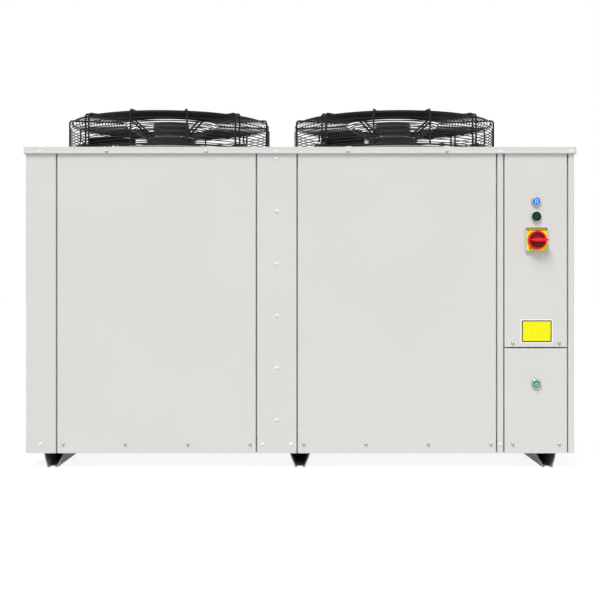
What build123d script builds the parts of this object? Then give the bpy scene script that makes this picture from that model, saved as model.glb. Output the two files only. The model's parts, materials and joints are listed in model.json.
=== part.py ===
from build123d import *
import math
import os

# Condensing unit: a low sheet-metal cabinet on three rails, with two upward fans under wire
# guards on its roof and a control column at the right of its front. Millimetres, +Z up, the
# front faces -Y, and the origin is on the underside of the centre rail at mid depth.

# Cabinet, outside to outside
BODY_WIDTH = 1670
BODY_DEPTH = 760
BODY_HEIGHT = 932
SHEET = 2
BEND_RADIUS = 2.5
SEAM = 4
FOLD_DEPTH = 18
FLANGE = 22

# Rails
RAIL_HEIGHT = 44
RAIL_TOP_WIDTH = 66
RAIL_FOOT_WIDTH = 30
RAIL_SHEET = 3
RAIL_SETBACK = 5
RAIL_END_SLANT = 30
RAIL_SPREAD = 755
RAIL_NOTCH = 30
ANCHOR_FROM_END = 75
ANCHOR_RADIUS = 5.5

# Tray and posts
TRAY_HEIGHT = 56
LEFT_POST_FACE = 92
RIGHT_POST_FACE = 18
CORNER_SIDE_FACE = 40
CENTRE_POST_X = -70.5
CENTRE_POST_FACE = 120
NARROW_POST_X = 610
NARROW_POST_FACE = 18
CONTROL_SPLIT = 321.5

# Roof pan
ROOF_OVERHANG = 6
ROOF_SKIRT = 20
ROOF_HEM = 5
ROOF_CORNER = 4
ROOF_HOLE_RADIUS = 296

# Fans, with heights counted from the roof's top
FAN_XS = {"left": -437, "right": 315}
RING_INNER = 289
RING_WALL = 2
RING_LIP = 300
RING_LIP_HEIGHT = 18
RING_FLANGE = 24
RING_DEPTH = 75
TIP_CLEARANCE = 6
BLADES = 5
BLADE_START = -110
BLADE_THICKNESS = 3
BLADE_MIDDLE = -35
BLADE_CHORD = 252
BLADE_CAMBER = 15
BLADE_STAGGER = 20
BLADE_ROOT_WIDTH = 96
BLADE_TIP_WIDTH = 234
BLADE_BOW = 14
HUB_RADIUS = 86
HUB_TOP = 40
HUB_BOTTOM = -44
FIT_GAP = 0.2

# Motor
MOTOR_FLANGE_RADIUS = 82.5
MOTOR_FLANGE_BOTTOM = 49
MOTOR_FLANGE_TOP = 76
MOTOR_HOUSING_RADIUS = 57
MOTOR_HOUSING_TOP = 124
MOTOR_CHAMFER = 6
SHAFT_RADIUS = 12
SHAFT_RUN = 0.3
SHAFT_BOTTOM = -18
SHAFT_END_GAP = 2
ROTOR_RADIUS = 75
ROTOR_TOP = 44
ROTOR_BOTTOM = -40
ROTOR_CHAMFER = 8

# Guard
ROD = 5
WIRE = 4
GUARD_HEIGHT = 125
GUARD_RADIUS = 340
GUARD_SHOULDER = 15
GUARD_FOOT_HEIGHT = 14
RING_SIDES = 24
SIDE_RING_HEIGHTS = (18, 60, 102)
TOP_RING_RADII = (316, 241, 167)
CONE_TOP_RADIUS = 165
CONE_RING_RADIUS = 126
PLATE_OUTER = 90
PLATE_INNER = 62
PLATE_THICKNESS = 3
SINGLE_ROD_ANGLES = (15, 75, 105, 165, 195, 255, 285, 345)
ARM_ANGLES = (45, 135, 225, 315)
ARM_SPACING = 18
FOOT_INNER = 330
FOOT_OUTER = 372
FOOT_WIDTH = 34
FOOT_SLOPE = 12
FOOT_SCREW_RADIUS = 357
FOOT_TOP = 26

# Duct of the motor's cable, from the guard's plate to the front left foot
DUCT_ANGLE = 225
DUCT_WIDTH = 24
DUCT_HEIGHT = 20
DUCT_CENTRE_LINE = ((97, 79), (112, 42), (140, 36), (172, 45), (236, 46), (300, 38), (326, 33))

# Coils, partition and machinery
COIL_THICKNESS = 66
COIL_END_PLATE = 3
COIL_CORE_SETBACK = 10
COIL_FIN_SETBACK = 3
COIL_FIN_THICKNESS = 2
COIL_FIN_PITCH = 54
COIL_LAP = 16
COIL_TOP_GAP = 6
COMPRESSOR_X = -240
COMPRESSOR_Y = -60
COMPRESSOR_RADIUS = 105
COMPRESSOR_HEIGHT = 400
COMPRESSOR_CROWN = 45
COMPRESSOR_FOOT = 16
RECEIVER_X = 140
RECEIVER_Y = -190
RECEIVER_RADIUS = 76
RECEIVER_HEIGHT = 430
RECEIVER_CROWN = 38

# Controls, with heights counted from the cabinet's bottom edge
CONTROL_X = 719
RESET_HEIGHT = 766
LAMP_HEIGHT = 721
START_HEIGHT = 211
BEZEL_RADIUS = 15
BEZEL_THICKNESS = 5
BEZEL_CHAMFER = 1.5
BUTTON_RADIUS = 11
BUTTON_GAP = 0.3
BUTTON_PROUD = 8
BUTTON_BEHIND = 14
LAMP_BEZEL_RADIUS = 14.3
LAMP_BEZEL_THICKNESS = 3
LAMP_LENS_RADIUS = 12.2
LAMP_LENS_PROUD = 9
ISOLATOR_WIDTH = 64
ISOLATOR_BOTTOM = 615
ISOLATOR_TOP = 687
ISOLATOR_THICKNESS = 8
ISOLATOR_CORNER = 4
ISOLATOR_AXIS = 648.5
KNOB_RADIUS = 28.5
KNOB_THICKNESS = 13
KNOB_RIM = 5
KNOB_RECESS = 7
KNOB_RUN = 0.5
GRIP_BACK = 22
GRIP_REACH = 33
GRIP_WIDEST_AT = -4
GRIP_BACK_WIDTH = 3
GRIP_WIDTH = 13
GRIP_TIP_WIDTH = 6
GRIP_PROUD = 12
SPINDLE_RADIUS = 5
SPINDLE_LENGTH = 9

# Sides of round pieces, which are drawn as many-sided ones
LARGE_SIDES = 40
MIDDLE_SIDES = 36
SMALL_SIDES = 24

# Levels and planes that follow from the sizes above
BASE_Z = RAIL_HEIGHT
ROOF_TOP = BASE_Z + BODY_HEIGHT
ROOF_UNDERSIDE = ROOF_TOP - SHEET
FRONT_Y = -BODY_DEPTH / 2
HALF_WIDTH = BODY_WIDTH / 2
TRAY_LENGTH = BODY_WIDTH - 2 * FOLD_DEPTH
TRAY_DEPTH = BODY_DEPTH - 2 * FOLD_DEPTH
FRAME_INNER_Y = TRAY_DEPTH / 2 - SHEET
FLOOR_Z = BASE_Z + SHEET
PANEL_TOP = ROOF_UNDERSIDE - SEAM
TIP_RADIUS = RING_INNER - TIP_CLEARANCE
RAIL_LENGTH = BODY_DEPTH - 2 * RAIL_SETBACK
LEFT_POST_EDGE = -HALF_WIDTH + LEFT_POST_FACE
RIGHT_POST_EDGE = HALF_WIDTH - RIGHT_POST_FACE
CENTRE_POST_EDGES = (CENTRE_POST_X - CENTRE_POST_FACE / 2, CENTRE_POST_X + CENTRE_POST_FACE / 2)
NARROW_POST_EDGES = (NARROW_POST_X - NARROW_POST_FACE / 2, NARROW_POST_X + NARROW_POST_FACE / 2)


def save(part, name):
    """Label a finished piece and write its STEP file."""
    part.label = name
    export_step(part, f"parts/{name}.step")


def base_rail(x):
    """Folded channel that tapers to a flat foot, with slanted open ends, notched underneath."""
    half_top = RAIL_TOP_WIDTH / 2
    half_foot = RAIL_FOOT_WIDTH / 2
    slope = (half_top - half_foot) / RAIL_HEIGHT
    wall = RAIL_SHEET * math.hypot(1, slope)
    half_floor = half_foot + slope * RAIL_SHEET - wall
    with BuildPart() as rail:
        with BuildSketch(Plane.XZ.offset(RAIL_LENGTH / 2)):
            with BuildLine():
                Polyline(
                    (x - half_top, RAIL_HEIGHT),
                    (x - half_foot, 0),
                    (x + half_foot, 0),
                    (x + half_top, RAIL_HEIGHT),
                    (x + half_top - wall, RAIL_HEIGHT),
                    (x + half_floor, RAIL_SHEET),
                    (x - half_floor, RAIL_SHEET),
                    (x - half_top + wall, RAIL_HEIGHT),
                    close=True,
                )
            make_face()
        extrude(amount=-RAIL_LENGTH)
        for end in (-RAIL_LENGTH / 2, RAIL_LENGTH / 2):
            with BuildSketch(Plane.YZ):
                with BuildLine():
                    Polyline(
                        (end, 0),
                        (end - math.copysign(RAIL_END_SLANT, end), RAIL_HEIGHT),
                        (end, RAIL_HEIGHT),
                        close=True,
                    )
                make_face()
            extrude(amount=BODY_WIDTH, both=True, mode=Mode.SUBTRACT)
        notch_width = RAIL_FOOT_WIDTH - 4 * RAIL_SHEET
        with Locations((x, -RAIL_LENGTH / 2, 0), (x, RAIL_LENGTH / 2, 0)):
            Box(notch_width, 2 * RAIL_NOTCH, 4 * RAIL_SHEET, mode=Mode.SUBTRACT)
        if x != 0:
            anchor_y = RAIL_LENGTH / 2 - ANCHOR_FROM_END
            with Locations((x, -anchor_y, 0), (x, anchor_y, 0)):
                Cylinder(ANCHOR_RADIUS, 4 * RAIL_SHEET, mode=Mode.SUBTRACT)
    return rail.part


def base_tray():
    """Shallow open pan that stands on the rails and carries the posts' flanges."""
    with BuildPart() as tray:
        with BuildSketch(Plane.XY.offset(BASE_Z)):
            Rectangle(TRAY_LENGTH, TRAY_DEPTH)
        extrude(amount=TRAY_HEIGHT)
        with BuildSketch(Plane.XY.offset(FLOOR_Z)):
            Rectangle(TRAY_LENGTH - 2 * SHEET, TRAY_DEPTH - 2 * SHEET)
        extrude(amount=TRAY_HEIGHT, mode=Mode.SUBTRACT)
    return tray.part


def standing_section(points):
    """Sheet folded along a plan outline, standing from the cabinet's bottom to the roof."""
    with BuildPart() as post:
        with BuildSketch(Plane.XY.offset(BASE_Z)):
            with BuildLine():
                Polyline(*points)
            trace(line_width=SHEET)
        extrude(amount=ROOF_UNDERSIDE - BASE_Z)
        with BuildSketch(Plane.XY.offset(BASE_Z)):
            Rectangle(TRAY_LENGTH, TRAY_DEPTH)
        extrude(amount=TRAY_HEIGHT, mode=Mode.SUBTRACT)
        bends = post.edges().filter_by(Axis.Z).filter_by(lambda edge: on_outside(edge.center()))
        fillet(bends, radius=BEND_RADIUS)
    return post.part


def on_outside(point):
    """True where a point lies in one of the cabinet's four outer faces."""
    return (
        abs(abs(point.X) - HALF_WIDTH) < SHEET / 10
        or abs(abs(point.Y) - BODY_DEPTH / 2) < SHEET / 10
    )


def corner_post(face, x_side, y_side):
    """Corner post: two faces, and a set-back flange behind each neighbouring panel."""
    half = SHEET / 2
    outline = (
        (HALF_WIDTH - face - FLANGE, BODY_DEPTH / 2 - FOLD_DEPTH - half),
        (HALF_WIDTH - face + half, BODY_DEPTH / 2 - FOLD_DEPTH - half),
        (HALF_WIDTH - face + half, BODY_DEPTH / 2 - half),
        (HALF_WIDTH - half, BODY_DEPTH / 2 - half),
        (HALF_WIDTH - half, BODY_DEPTH / 2 - CORNER_SIDE_FACE + half),
        (HALF_WIDTH - FOLD_DEPTH - half, BODY_DEPTH / 2 - CORNER_SIDE_FACE + half),
        (HALF_WIDTH - FOLD_DEPTH - half, BODY_DEPTH / 2 - CORNER_SIDE_FACE - FLANGE),
    )
    return standing_section([(x_side * x, y_side * y) for x, y in outline])


def hat_post(x, face, y_side):
    """Post between two panels: a flat face, two webs and two set-back flanges."""
    half = SHEET / 2
    web = face / 2 - half
    outline = (
        (-face / 2 - FLANGE, BODY_DEPTH / 2 - FOLD_DEPTH - half),
        (-web, BODY_DEPTH / 2 - FOLD_DEPTH - half),
        (-web, BODY_DEPTH / 2 - half),
        (web, BODY_DEPTH / 2 - half),
        (web, BODY_DEPTH / 2 - FOLD_DEPTH - half),
        (face / 2 + FLANGE, BODY_DEPTH / 2 - FOLD_DEPTH - half),
    )
    return standing_section([(x + dx, y_side * y) for dx, y in outline])


def pan_panel(face_plane, width, height, holes=()):
    """Flat cover with its four edges folded back; holes are (x, y, radius) on its face."""
    with BuildPart() as panel:
        with BuildSketch(face_plane):
            Rectangle(width, height)
        extrude(amount=-FOLD_DEPTH)
        upright = panel.edges().filter_by(Axis.Z)
        outer = upright.filter_by(lambda edge: on_outside(edge.center()))
        fillet(outer, radius=BEND_RADIUS)
        with BuildSketch(face_plane.offset(-SHEET)):
            Rectangle(width - 2 * SHEET, height - 2 * SHEET)
        extrude(amount=-FOLD_DEPTH, mode=Mode.SUBTRACT)
        if holes:
            with BuildSketch(face_plane):
                for x, y, radius in holes:
                    with Locations((x, y)):
                        round_outline(radius, SMALL_SIDES)
            extrude(amount=-2 * SHEET, mode=Mode.SUBTRACT)
    return panel.part


def front_plane(x, z):
    """Plane on the cabinet's front, facing out."""
    return Plane(origin=(x, FRONT_Y, z), x_dir=(1, 0, 0), z_dir=(0, -1, 0))


def front_bay_panel(left_edge, right_edge, low, high, hole_centres=()):
    """Cover between two post edges, a seam away from each, from one level to another."""
    x = (left_edge + right_edge) / 2
    z = (low + high) / 2
    holes = [(hx - x, hz - z, BUTTON_RADIUS + BUTTON_GAP) for hx, hz in hole_centres]
    width = right_edge - left_edge - 2 * SEAM
    return pan_panel(front_plane(x, z), width, high - low, holes)


def end_panel(x_side):
    """Cover of one end of the cabinet, between the two corner posts."""
    z = (BASE_Z + PANEL_TOP) / 2
    face = Plane(origin=(x_side * HALF_WIDTH, 0, z), x_dir=(0, x_side, 0), z_dir=(x_side, 0, 0))
    return pan_panel(face, BODY_DEPTH - 2 * CORNER_SIDE_FACE - 2 * SEAM, PANEL_TOP - BASE_Z)


def rear_machine_panel():
    """Cover at the rear of the control column."""
    x = (NARROW_POST_EDGES[1] + RIGHT_POST_EDGE) / 2
    z = (BASE_Z + PANEL_TOP) / 2
    face = Plane(origin=(x, -FRONT_Y, z), x_dir=(-1, 0, 0), z_dir=(0, 1, 0))
    return pan_panel(face, RIGHT_POST_EDGE - NARROW_POST_EDGES[1] - 2 * SEAM, PANEL_TOP - BASE_Z)


def coil(left, right):
    """Finned block between two end plates, standing in the tray behind the rear flanges."""
    height = ROOF_UNDERSIDE - COIL_TOP_GAP - FLOOR_Z
    fins = math.floor((right - left) / COIL_FIN_PITCH)
    with BuildPart() as block:
        with BuildSketch(Plane.XY.offset(FLOOR_Z)):
            middle = ((left + right) / 2, FRAME_INNER_Y - COIL_THICKNESS / 2)
            with Locations(middle):
                Rectangle(right - left, COIL_THICKNESS - 2 * COIL_CORE_SETBACK)
                with GridLocations(COIL_FIN_PITCH, 1, fins, 1):
                    Rectangle(COIL_FIN_THICKNESS, COIL_THICKNESS - 2 * COIL_FIN_SETBACK)
            for edge, side in ((left, Align.MIN), (right, Align.MAX)):
                with Locations((edge, FRAME_INNER_Y)):
                    Rectangle(COIL_END_PLATE, COIL_THICKNESS, align=(side, Align.MAX))
        extrude(amount=height)
    return block.part


def partition():
    """Upright sheet between the air bay and the control column, post to post."""
    with BuildPart() as wall:
        with BuildSketch(Plane.XY.offset(FLOOR_Z)):
            with Locations((NARROW_POST_X, 0)):
                Rectangle(SHEET, 2 * FRAME_INNER_Y)
        extrude(amount=ROOF_UNDERSIDE - FLOOR_Z)
    return wall.part


def roof_pan():
    """Roof sheet with a skirt, a hem that turns in under it, and two fan openings."""
    length = BODY_WIDTH + 2 * ROOF_OVERHANG
    depth = BODY_DEPTH + 2 * ROOF_OVERHANG
    with BuildPart() as pan:
        with BuildSketch(Plane.XY.offset(ROOF_TOP - ROOF_SKIRT)):
            RectangleRounded(length, depth, ROOF_CORNER + SHEET)
        extrude(amount=ROOF_SKIRT)
        chamfer(pan.faces().sort_by(Axis.Z)[0].edges(), length=ROOF_HEM)
        with BuildSketch(Plane.XY.offset(ROOF_TOP - ROOF_SKIRT)):
            Rectangle(BODY_WIDTH, BODY_DEPTH)
        extrude(amount=ROOF_SKIRT - SHEET, mode=Mode.SUBTRACT)
        with BuildSketch(Plane.XY.offset(ROOF_UNDERSIDE)):
            RectangleRounded(length - 2 * SHEET, depth - 2 * SHEET, ROOF_CORNER)
        extrude(amount=ROOF_HEM + 2 * SHEET - ROOF_SKIRT, mode=Mode.SUBTRACT)
        with BuildSketch(Plane.XY.offset(ROOF_TOP)):
            with Locations(*[(x, 0) for x in FAN_XS.values()]):
                round_outline(ROOF_HOLE_RADIUS, LARGE_SIDES)
        extrude(amount=-ROOF_SKIRT, mode=Mode.SUBTRACT)
    return pan.part


def fan_plane(x, height, angle=0.0):
    """Upright plane through a fan's axis: its x runs outwards at the angle, its y runs up."""
    turn = math.radians(angle)
    outwards = (math.cos(turn), math.sin(turn), 0)
    sideways = (math.sin(turn), -math.cos(turn), 0)
    return Plane(origin=(x, 0, ROOF_TOP + height), x_dir=outwards, z_dir=sideways)


def round_outline(radius, sides, mode=Mode.ADD):
    """Circle drawn with straight sides that touch it, with one side facing each main direction."""
    RegularPolygon(radius, sides, major_radius=False, rotation=180 / sides, mode=mode)


def stacked(x, y, base, sides, solids, bores=()):
    """Many-sided turned body: each solid or bore lists (radius, height over the base) upwards."""
    with BuildPart() as body:
        for outlines, mode in ((solids, Mode.ADD), (bores, Mode.SUBTRACT)):
            for outline in outlines:
                for (radius, low), (upper_radius, high) in zip(outline, outline[1:]):
                    with BuildSketch(Plane((x, y, base + low))):
                        round_outline(radius, sides)
                    lean = math.degrees(math.atan2(radius - upper_radius, high - low))
                    extrude(amount=high - low, taper=lean, mode=mode)
    return body.part


def fan_ring(x):
    """Spun bell mouth: flange on the roof, collar with a rounded lip, and a straight throat below."""
    outer = RING_INNER + RING_WALL
    collar_inner = RING_LIP - RING_WALL
    lip_under = RING_LIP_HEIGHT - 2 * RING_WALL
    solids = (
        ((outer, -RING_DEPTH), (outer, RING_LIP_HEIGHT)),
        ((RING_LIP, 0), (RING_LIP, RING_LIP_HEIGHT - RING_WALL), (collar_inner, RING_LIP_HEIGHT)),
        ((RING_LIP + RING_FLANGE, 0), (RING_LIP + RING_FLANGE, RING_WALL)),
    )
    ring = stacked(x, 0, ROOF_TOP, LARGE_SIDES, solids)
    with BuildPart() as mouth:
        add(ring)
        with BuildSketch(Plane((x, 0, ROOF_TOP))):
            round_outline(collar_inner, LARGE_SIDES)
            round_outline(outer, LARGE_SIDES, mode=Mode.SUBTRACT)
        extrude(amount=lip_under, mode=Mode.SUBTRACT)
        with BuildSketch(Plane((x, 0, ROOF_TOP - RING_DEPTH))):
            round_outline(RING_INNER, LARGE_SIDES)
        extrude(amount=RING_DEPTH + RING_LIP_HEIGHT, mode=Mode.SUBTRACT)
    return mouth.part


def fan_motor(x):
    """Still half of the outer-rotor motor: housing, flange and the shaft that carries the fan."""
    flange, housing = MOTOR_FLANGE_RADIUS, MOTOR_HOUSING_RADIUS
    solids = (
        ((SHAFT_RADIUS, SHAFT_BOTTOM), (SHAFT_RADIUS, MOTOR_FLANGE_TOP)),
        (
            (flange - MOTOR_CHAMFER, MOTOR_FLANGE_BOTTOM),
            (flange, MOTOR_FLANGE_BOTTOM + MOTOR_CHAMFER),
            (flange, MOTOR_FLANGE_TOP),
        ),
        (
            (housing, MOTOR_FLANGE_BOTTOM + MOTOR_CHAMFER),
            (housing, MOTOR_HOUSING_TOP - MOTOR_CHAMFER),
            (housing - MOTOR_CHAMFER, MOTOR_HOUSING_TOP),
        ),
    )
    return stacked(x, 0, ROOF_TOP, MIDDLE_SIDES, solids)


def fan_rotor(x):
    """Turning cup of the motor, bored for the shaft."""
    cup = (
        (ROTOR_RADIUS - ROTOR_CHAMFER, ROTOR_BOTTOM),
        (ROTOR_RADIUS, ROTOR_BOTTOM + ROTOR_CHAMFER),
        (ROTOR_RADIUS, ROTOR_TOP),
    )
    bore = SHAFT_RADIUS + SHAFT_RUN
    shaft_room = ((bore, SHAFT_BOTTOM - SHAFT_END_GAP), (bore, ROTOR_TOP))
    return stacked(x, 0, ROOF_TOP, MIDDLE_SIDES, (cup,), (shaft_room,))


def fan_blade():
    """Bent plate: an arched band that leans along its chord, cut to a bowed outline that widens."""
    lean = math.radians(BLADE_STAGGER)
    along = BLADE_CHORD / 2 * math.cos(lean)
    down = BLADE_CHORD / 2 * math.sin(lean)
    crown = (BLADE_CAMBER * math.sin(lean), BLADE_CAMBER * math.cos(lean))
    root = HUB_RADIUS - 2 * BLADE_THICKNESS
    reach = TIP_RADIUS + BLADE_THICKNESS
    half_root, half_tip = BLADE_ROOT_WIDTH / 2, BLADE_TIP_WIDTH / 2
    middle = ((root + reach) / 2, (half_root + half_tip) / 2)
    with BuildPart() as blade:
        with BuildSketch(Plane(origin=(root, 0, 0), x_dir=(0, 1, 0), z_dir=(1, 0, 0))):
            with BuildLine():
                ThreePointArc((-along, down), crown, (along, -down))
            trace(line_width=BLADE_THICKNESS)
        extrude(amount=reach - root)
        with BuildSketch(Plane.XY.offset(-BLADE_CHORD / 2)):
            with BuildLine():
                Line((root, -half_root), (root, half_root))
                ThreePointArc((root, half_root), (middle[0], middle[1] + BLADE_BOW), (reach, half_tip))
                Line((reach, half_tip), (reach, -half_tip))
                ThreePointArc((reach, -half_tip), (middle[0], BLADE_BOW - middle[1]), (root, -half_root))
            make_face()
        extrude(amount=BLADE_CHORD, mode=Mode.INTERSECT)
    return blade.part


def fan_impeller(x):
    """Hub sleeve with five bent blades, trimmed round at the tips."""
    sleeve = ((HUB_RADIUS, HUB_BOTTOM), (HUB_RADIUS, HUB_TOP))
    bore = ((ROTOR_RADIUS + FIT_GAP, HUB_BOTTOM), (ROTOR_RADIUS + FIT_GAP, HUB_TOP))
    with BuildPart() as impeller:
        with Locations((x, 0, ROOF_TOP + BLADE_MIDDLE)):
            with PolarLocations(0, BLADES, start_angle=BLADE_START):
                add(fan_blade())
            Cylinder(TIP_RADIUS, 2 * BODY_HEIGHT, mode=Mode.INTERSECT)
        add(stacked(x, 0, ROOF_TOP, MIDDLE_SIDES, (sleeve,)))
        add(stacked(x, 0, ROOF_TOP, MIDDLE_SIDES, (bore,)), mode=Mode.SUBTRACT)
    return impeller.part


def wire_ring(x, height, radius):
    """Flat outline of a ring of straight chords, on its underside's height over the roof."""
    with BuildSketch(Plane((x, 0, ROOF_TOP + height - WIRE / 2))) as ring:
        round_outline(radius + WIRE / 2, RING_SIDES)
        round_outline(radius - WIRE / 2, RING_SIDES, mode=Mode.SUBTRACT)
    return ring.sketch


def rod_planes(x):
    """Upright planes of every rod: single rods, and two rods side by side for each arm."""
    singles = [fan_plane(x, 0, angle) for angle in SINGLE_ROD_ANGLES]
    arms = [
        fan_plane(x, 0, angle).offset(side * ARM_SPACING / 2)
        for angle in ARM_ANGLES
        for side in (-1, 1)
    ]
    return singles, arms


def bent_rod(plane, points, width=ROD):
    """Flat outline of a rod bent along (radius, height) points in an upright plane."""
    with BuildSketch(plane) as rod:
        with BuildLine():
            Polyline(*points)
        trace(line_width=width)
    return rod.sketch


def guard_side(x):
    """Cage round a fan: upright rods, level rings and four feet on the roof."""
    singles, arms = rod_planes(x)
    rod_top = GUARD_HEIGHT - GUARD_SHOULDER
    upright = ((GUARD_RADIUS - ROD / 2, GUARD_FOOT_HEIGHT), (GUARD_RADIUS - ROD / 2, rod_top))
    with BuildPart() as cage:
        for plane in singles + arms:
            extrude(bent_rod(plane, upright), amount=ROD / 2, both=True)
        for height in SIDE_RING_HEIGHTS:
            extrude(wire_ring(x, height, GUARD_RADIUS - ROD - WIRE / 2), amount=WIRE)
        for angle in ARM_ANGLES:
            with BuildSketch(fan_plane(x, 0, angle)):
                with BuildLine():
                    Polyline(
                        (FOOT_INNER, 0),
                        (FOOT_OUTER, 0),
                        (FOOT_OUTER, FOOT_TOP - FOOT_SLOPE),
                        (FOOT_SCREW_RADIUS, FOOT_TOP),
                        (FOOT_INNER, FOOT_TOP),
                        close=True,
                    )
                make_face()
            extrude(amount=FOOT_WIDTH / 2, both=True)
    return cage.part


def guard_top(x):
    """Dished top: rods down a cone to the plate that holds the motor, and the cable's duct."""
    singles, arms = rod_planes(x)
    rod_middle = GUARD_RADIUS - ROD / 2
    shoulder = GUARD_HEIGHT - GUARD_SHOULDER
    level = GUARD_HEIGHT - ROD / 2
    over_shoulder = (
        (rod_middle, shoulder),
        (rod_middle, level - 0.7 * GUARD_SHOULDER),
        (rod_middle - 0.25 * GUARD_SHOULDER, level - 0.25 * GUARD_SHOULDER),
        (rod_middle - GUARD_SHOULDER, level),
    )
    plate_bottom = MOTOR_FLANGE_TOP
    cone_bottom = (PLATE_OUTER - ROD, plate_bottom + PLATE_THICKNESS / 2)
    cone_share = (CONE_TOP_RADIUS - CONE_RING_RADIUS) / (CONE_TOP_RADIUS - cone_bottom[0])
    cone_ring_height = level - cone_share * (level - cone_bottom[1])
    with BuildPart() as dish:
        for plane in singles:
            rod = bent_rod(plane, over_shoulder + ((TOP_RING_RADII[-1], level),))
            extrude(rod, amount=ROD / 2, both=True)
        for plane in arms:
            rod = bent_rod(plane, over_shoulder + ((CONE_TOP_RADIUS, level), cone_bottom))
            extrude(rod, amount=ROD / 2, both=True)
        for radius in TOP_RING_RADII:
            extrude(wire_ring(x, level - ROD / 2 - WIRE / 2, radius), amount=WIRE)
        extrude(wire_ring(x, cone_ring_height - WIRE / 2, CONE_RING_RADIUS), amount=WIRE)
        with BuildSketch(Plane((x, 0, ROOF_TOP + plate_bottom))):
            round_outline(PLATE_OUTER, RING_SIDES)
            round_outline(PLATE_INNER, RING_SIDES, mode=Mode.SUBTRACT)
        extrude(amount=PLATE_THICKNESS)
        duct = bent_rod(fan_plane(x, 0, DUCT_ANGLE), DUCT_CENTRE_LINE, DUCT_HEIGHT)
        extrude(duct, amount=DUCT_WIDTH / 2, both=True)
    return dish.part


def crowned_can(x, y, radius, height, crown, foot=0.0):
    """Upright pressed vessel with a domed top on the tray's floor, and a wider foot if given."""
    outline = (
        (radius, 0),
        (radius, height - crown),
        (0.83 * radius, height - 0.4 * crown),
        (0.45 * radius, height),
    )
    with BuildPart() as can:
        add(stacked(x, y, FLOOR_Z, SMALL_SIDES, (outline,)))
        if foot:
            with BuildSketch(Plane((x, y, FLOOR_Z))):
                Rectangle(2 * (radius + foot), 2 * (radius + foot))
                chamfer(vertices(), length=2 * foot)
            extrude(amount=foot / 4)
    return can.part


def bezel(height, radius, thickness):
    """Chamfered collar on the front, bored for its button or lens."""
    face = front_plane(CONTROL_X, BASE_Z + height)
    with BuildPart() as collar:
        with BuildSketch(face):
            round_outline(radius, SMALL_SIDES)
        extrude(amount=thickness)
        chamfer(collar.faces().sort_by(Axis.Y)[0].edges(), length=BEZEL_CHAMFER)
        with BuildSketch(face):
            round_outline(BUTTON_RADIUS + BUTTON_GAP, SMALL_SIDES)
        extrude(amount=thickness, mode=Mode.SUBTRACT)
    return collar.part


def push_button(height):
    """Round plunger through its bezel and the panel behind it."""
    face = front_plane(CONTROL_X, BASE_Z + height)
    with BuildPart() as plunger:
        with BuildSketch(face.offset(-BUTTON_BEHIND)):
            round_outline(BUTTON_RADIUS, SMALL_SIDES)
        extrude(amount=BUTTON_BEHIND + BUTTON_PROUD)
        chamfer(plunger.faces().sort_by(Axis.Y)[0].edges(), length=BEZEL_CHAMFER / 2)
    return plunger.part


def lamp_lens():
    """Low round lens in front of its bezel, with a stem through the panel."""
    face = front_plane(CONTROL_X, BASE_Z + LAMP_HEIGHT)
    with BuildPart() as lens:
        with BuildSketch(face.offset(-BUTTON_BEHIND)):
            round_outline(BUTTON_RADIUS + BUTTON_GAP - FIT_GAP, SMALL_SIDES)
        extrude(amount=BUTTON_BEHIND + LAMP_BEZEL_THICKNESS)
        with BuildSketch(face.offset(LAMP_BEZEL_THICKNESS)):
            round_outline(LAMP_LENS_RADIUS, SMALL_SIDES)
        extrude(amount=LAMP_LENS_PROUD - LAMP_BEZEL_THICKNESS)
        chamfer(lens.faces().sort_by(Axis.Y)[0].edges(), length=2 * BEZEL_CHAMFER)
    return lens.part


def isolator_plate():
    """Square front plate of the main switch with the stub spindle that carries its handle."""
    middle = (ISOLATOR_BOTTOM + ISOLATOR_TOP) / 2
    face = front_plane(CONTROL_X, BASE_Z + middle)
    with BuildPart() as plate:
        with BuildSketch(face):
            RectangleRounded(ISOLATOR_WIDTH, ISOLATOR_TOP - ISOLATOR_BOTTOM, ISOLATOR_CORNER)
        extrude(amount=ISOLATOR_THICKNESS)
        with BuildSketch(front_plane(CONTROL_X, BASE_Z + ISOLATOR_AXIS)):
            round_outline(SPINDLE_RADIUS, SMALL_SIDES)
        extrude(amount=ISOLATOR_THICKNESS + SPINDLE_LENGTH)
    return plate.part


def isolator_handle():
    """Round knob with a recessed face, and a leaf-shaped grip across it that points to one side."""
    back = front_plane(CONTROL_X, BASE_Z + ISOLATOR_AXIS).offset(ISOLATOR_THICKNESS + KNOB_RUN)
    floor = back.offset(KNOB_THICKNESS - KNOB_RECESS)
    with BuildPart() as knob:
        with BuildSketch(back):
            round_outline(KNOB_RADIUS, MIDDLE_SIDES)
        extrude(amount=KNOB_THICKNESS)
        chamfer(knob.faces().sort_by(Axis.Y)[0].edges(), length=BEZEL_CHAMFER)
        with BuildSketch(floor):
            round_outline(KNOB_RADIUS - KNOB_RIM, MIDDLE_SIDES)
        extrude(amount=KNOB_RECESS, mode=Mode.SUBTRACT)
        with BuildSketch(floor):
            with BuildLine():
                Polyline(
                    (-GRIP_BACK, -GRIP_BACK_WIDTH / 2),
                    (GRIP_WIDEST_AT, -GRIP_WIDTH / 2),
                    (GRIP_REACH, -GRIP_TIP_WIDTH / 2),
                    (GRIP_REACH, GRIP_TIP_WIDTH / 2),
                    (GRIP_WIDEST_AT, GRIP_WIDTH / 2),
                    (-GRIP_BACK, GRIP_BACK_WIDTH / 2),
                    close=True,
                )
            make_face()
        extrude(amount=KNOB_RECESS + GRIP_PROUD)
        with BuildSketch(back):
            round_outline(SPINDLE_RADIUS + SHAFT_RUN, SMALL_SIDES)
        extrude(amount=SPINDLE_LENGTH, mode=Mode.SUBTRACT)
    return knob.part


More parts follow.
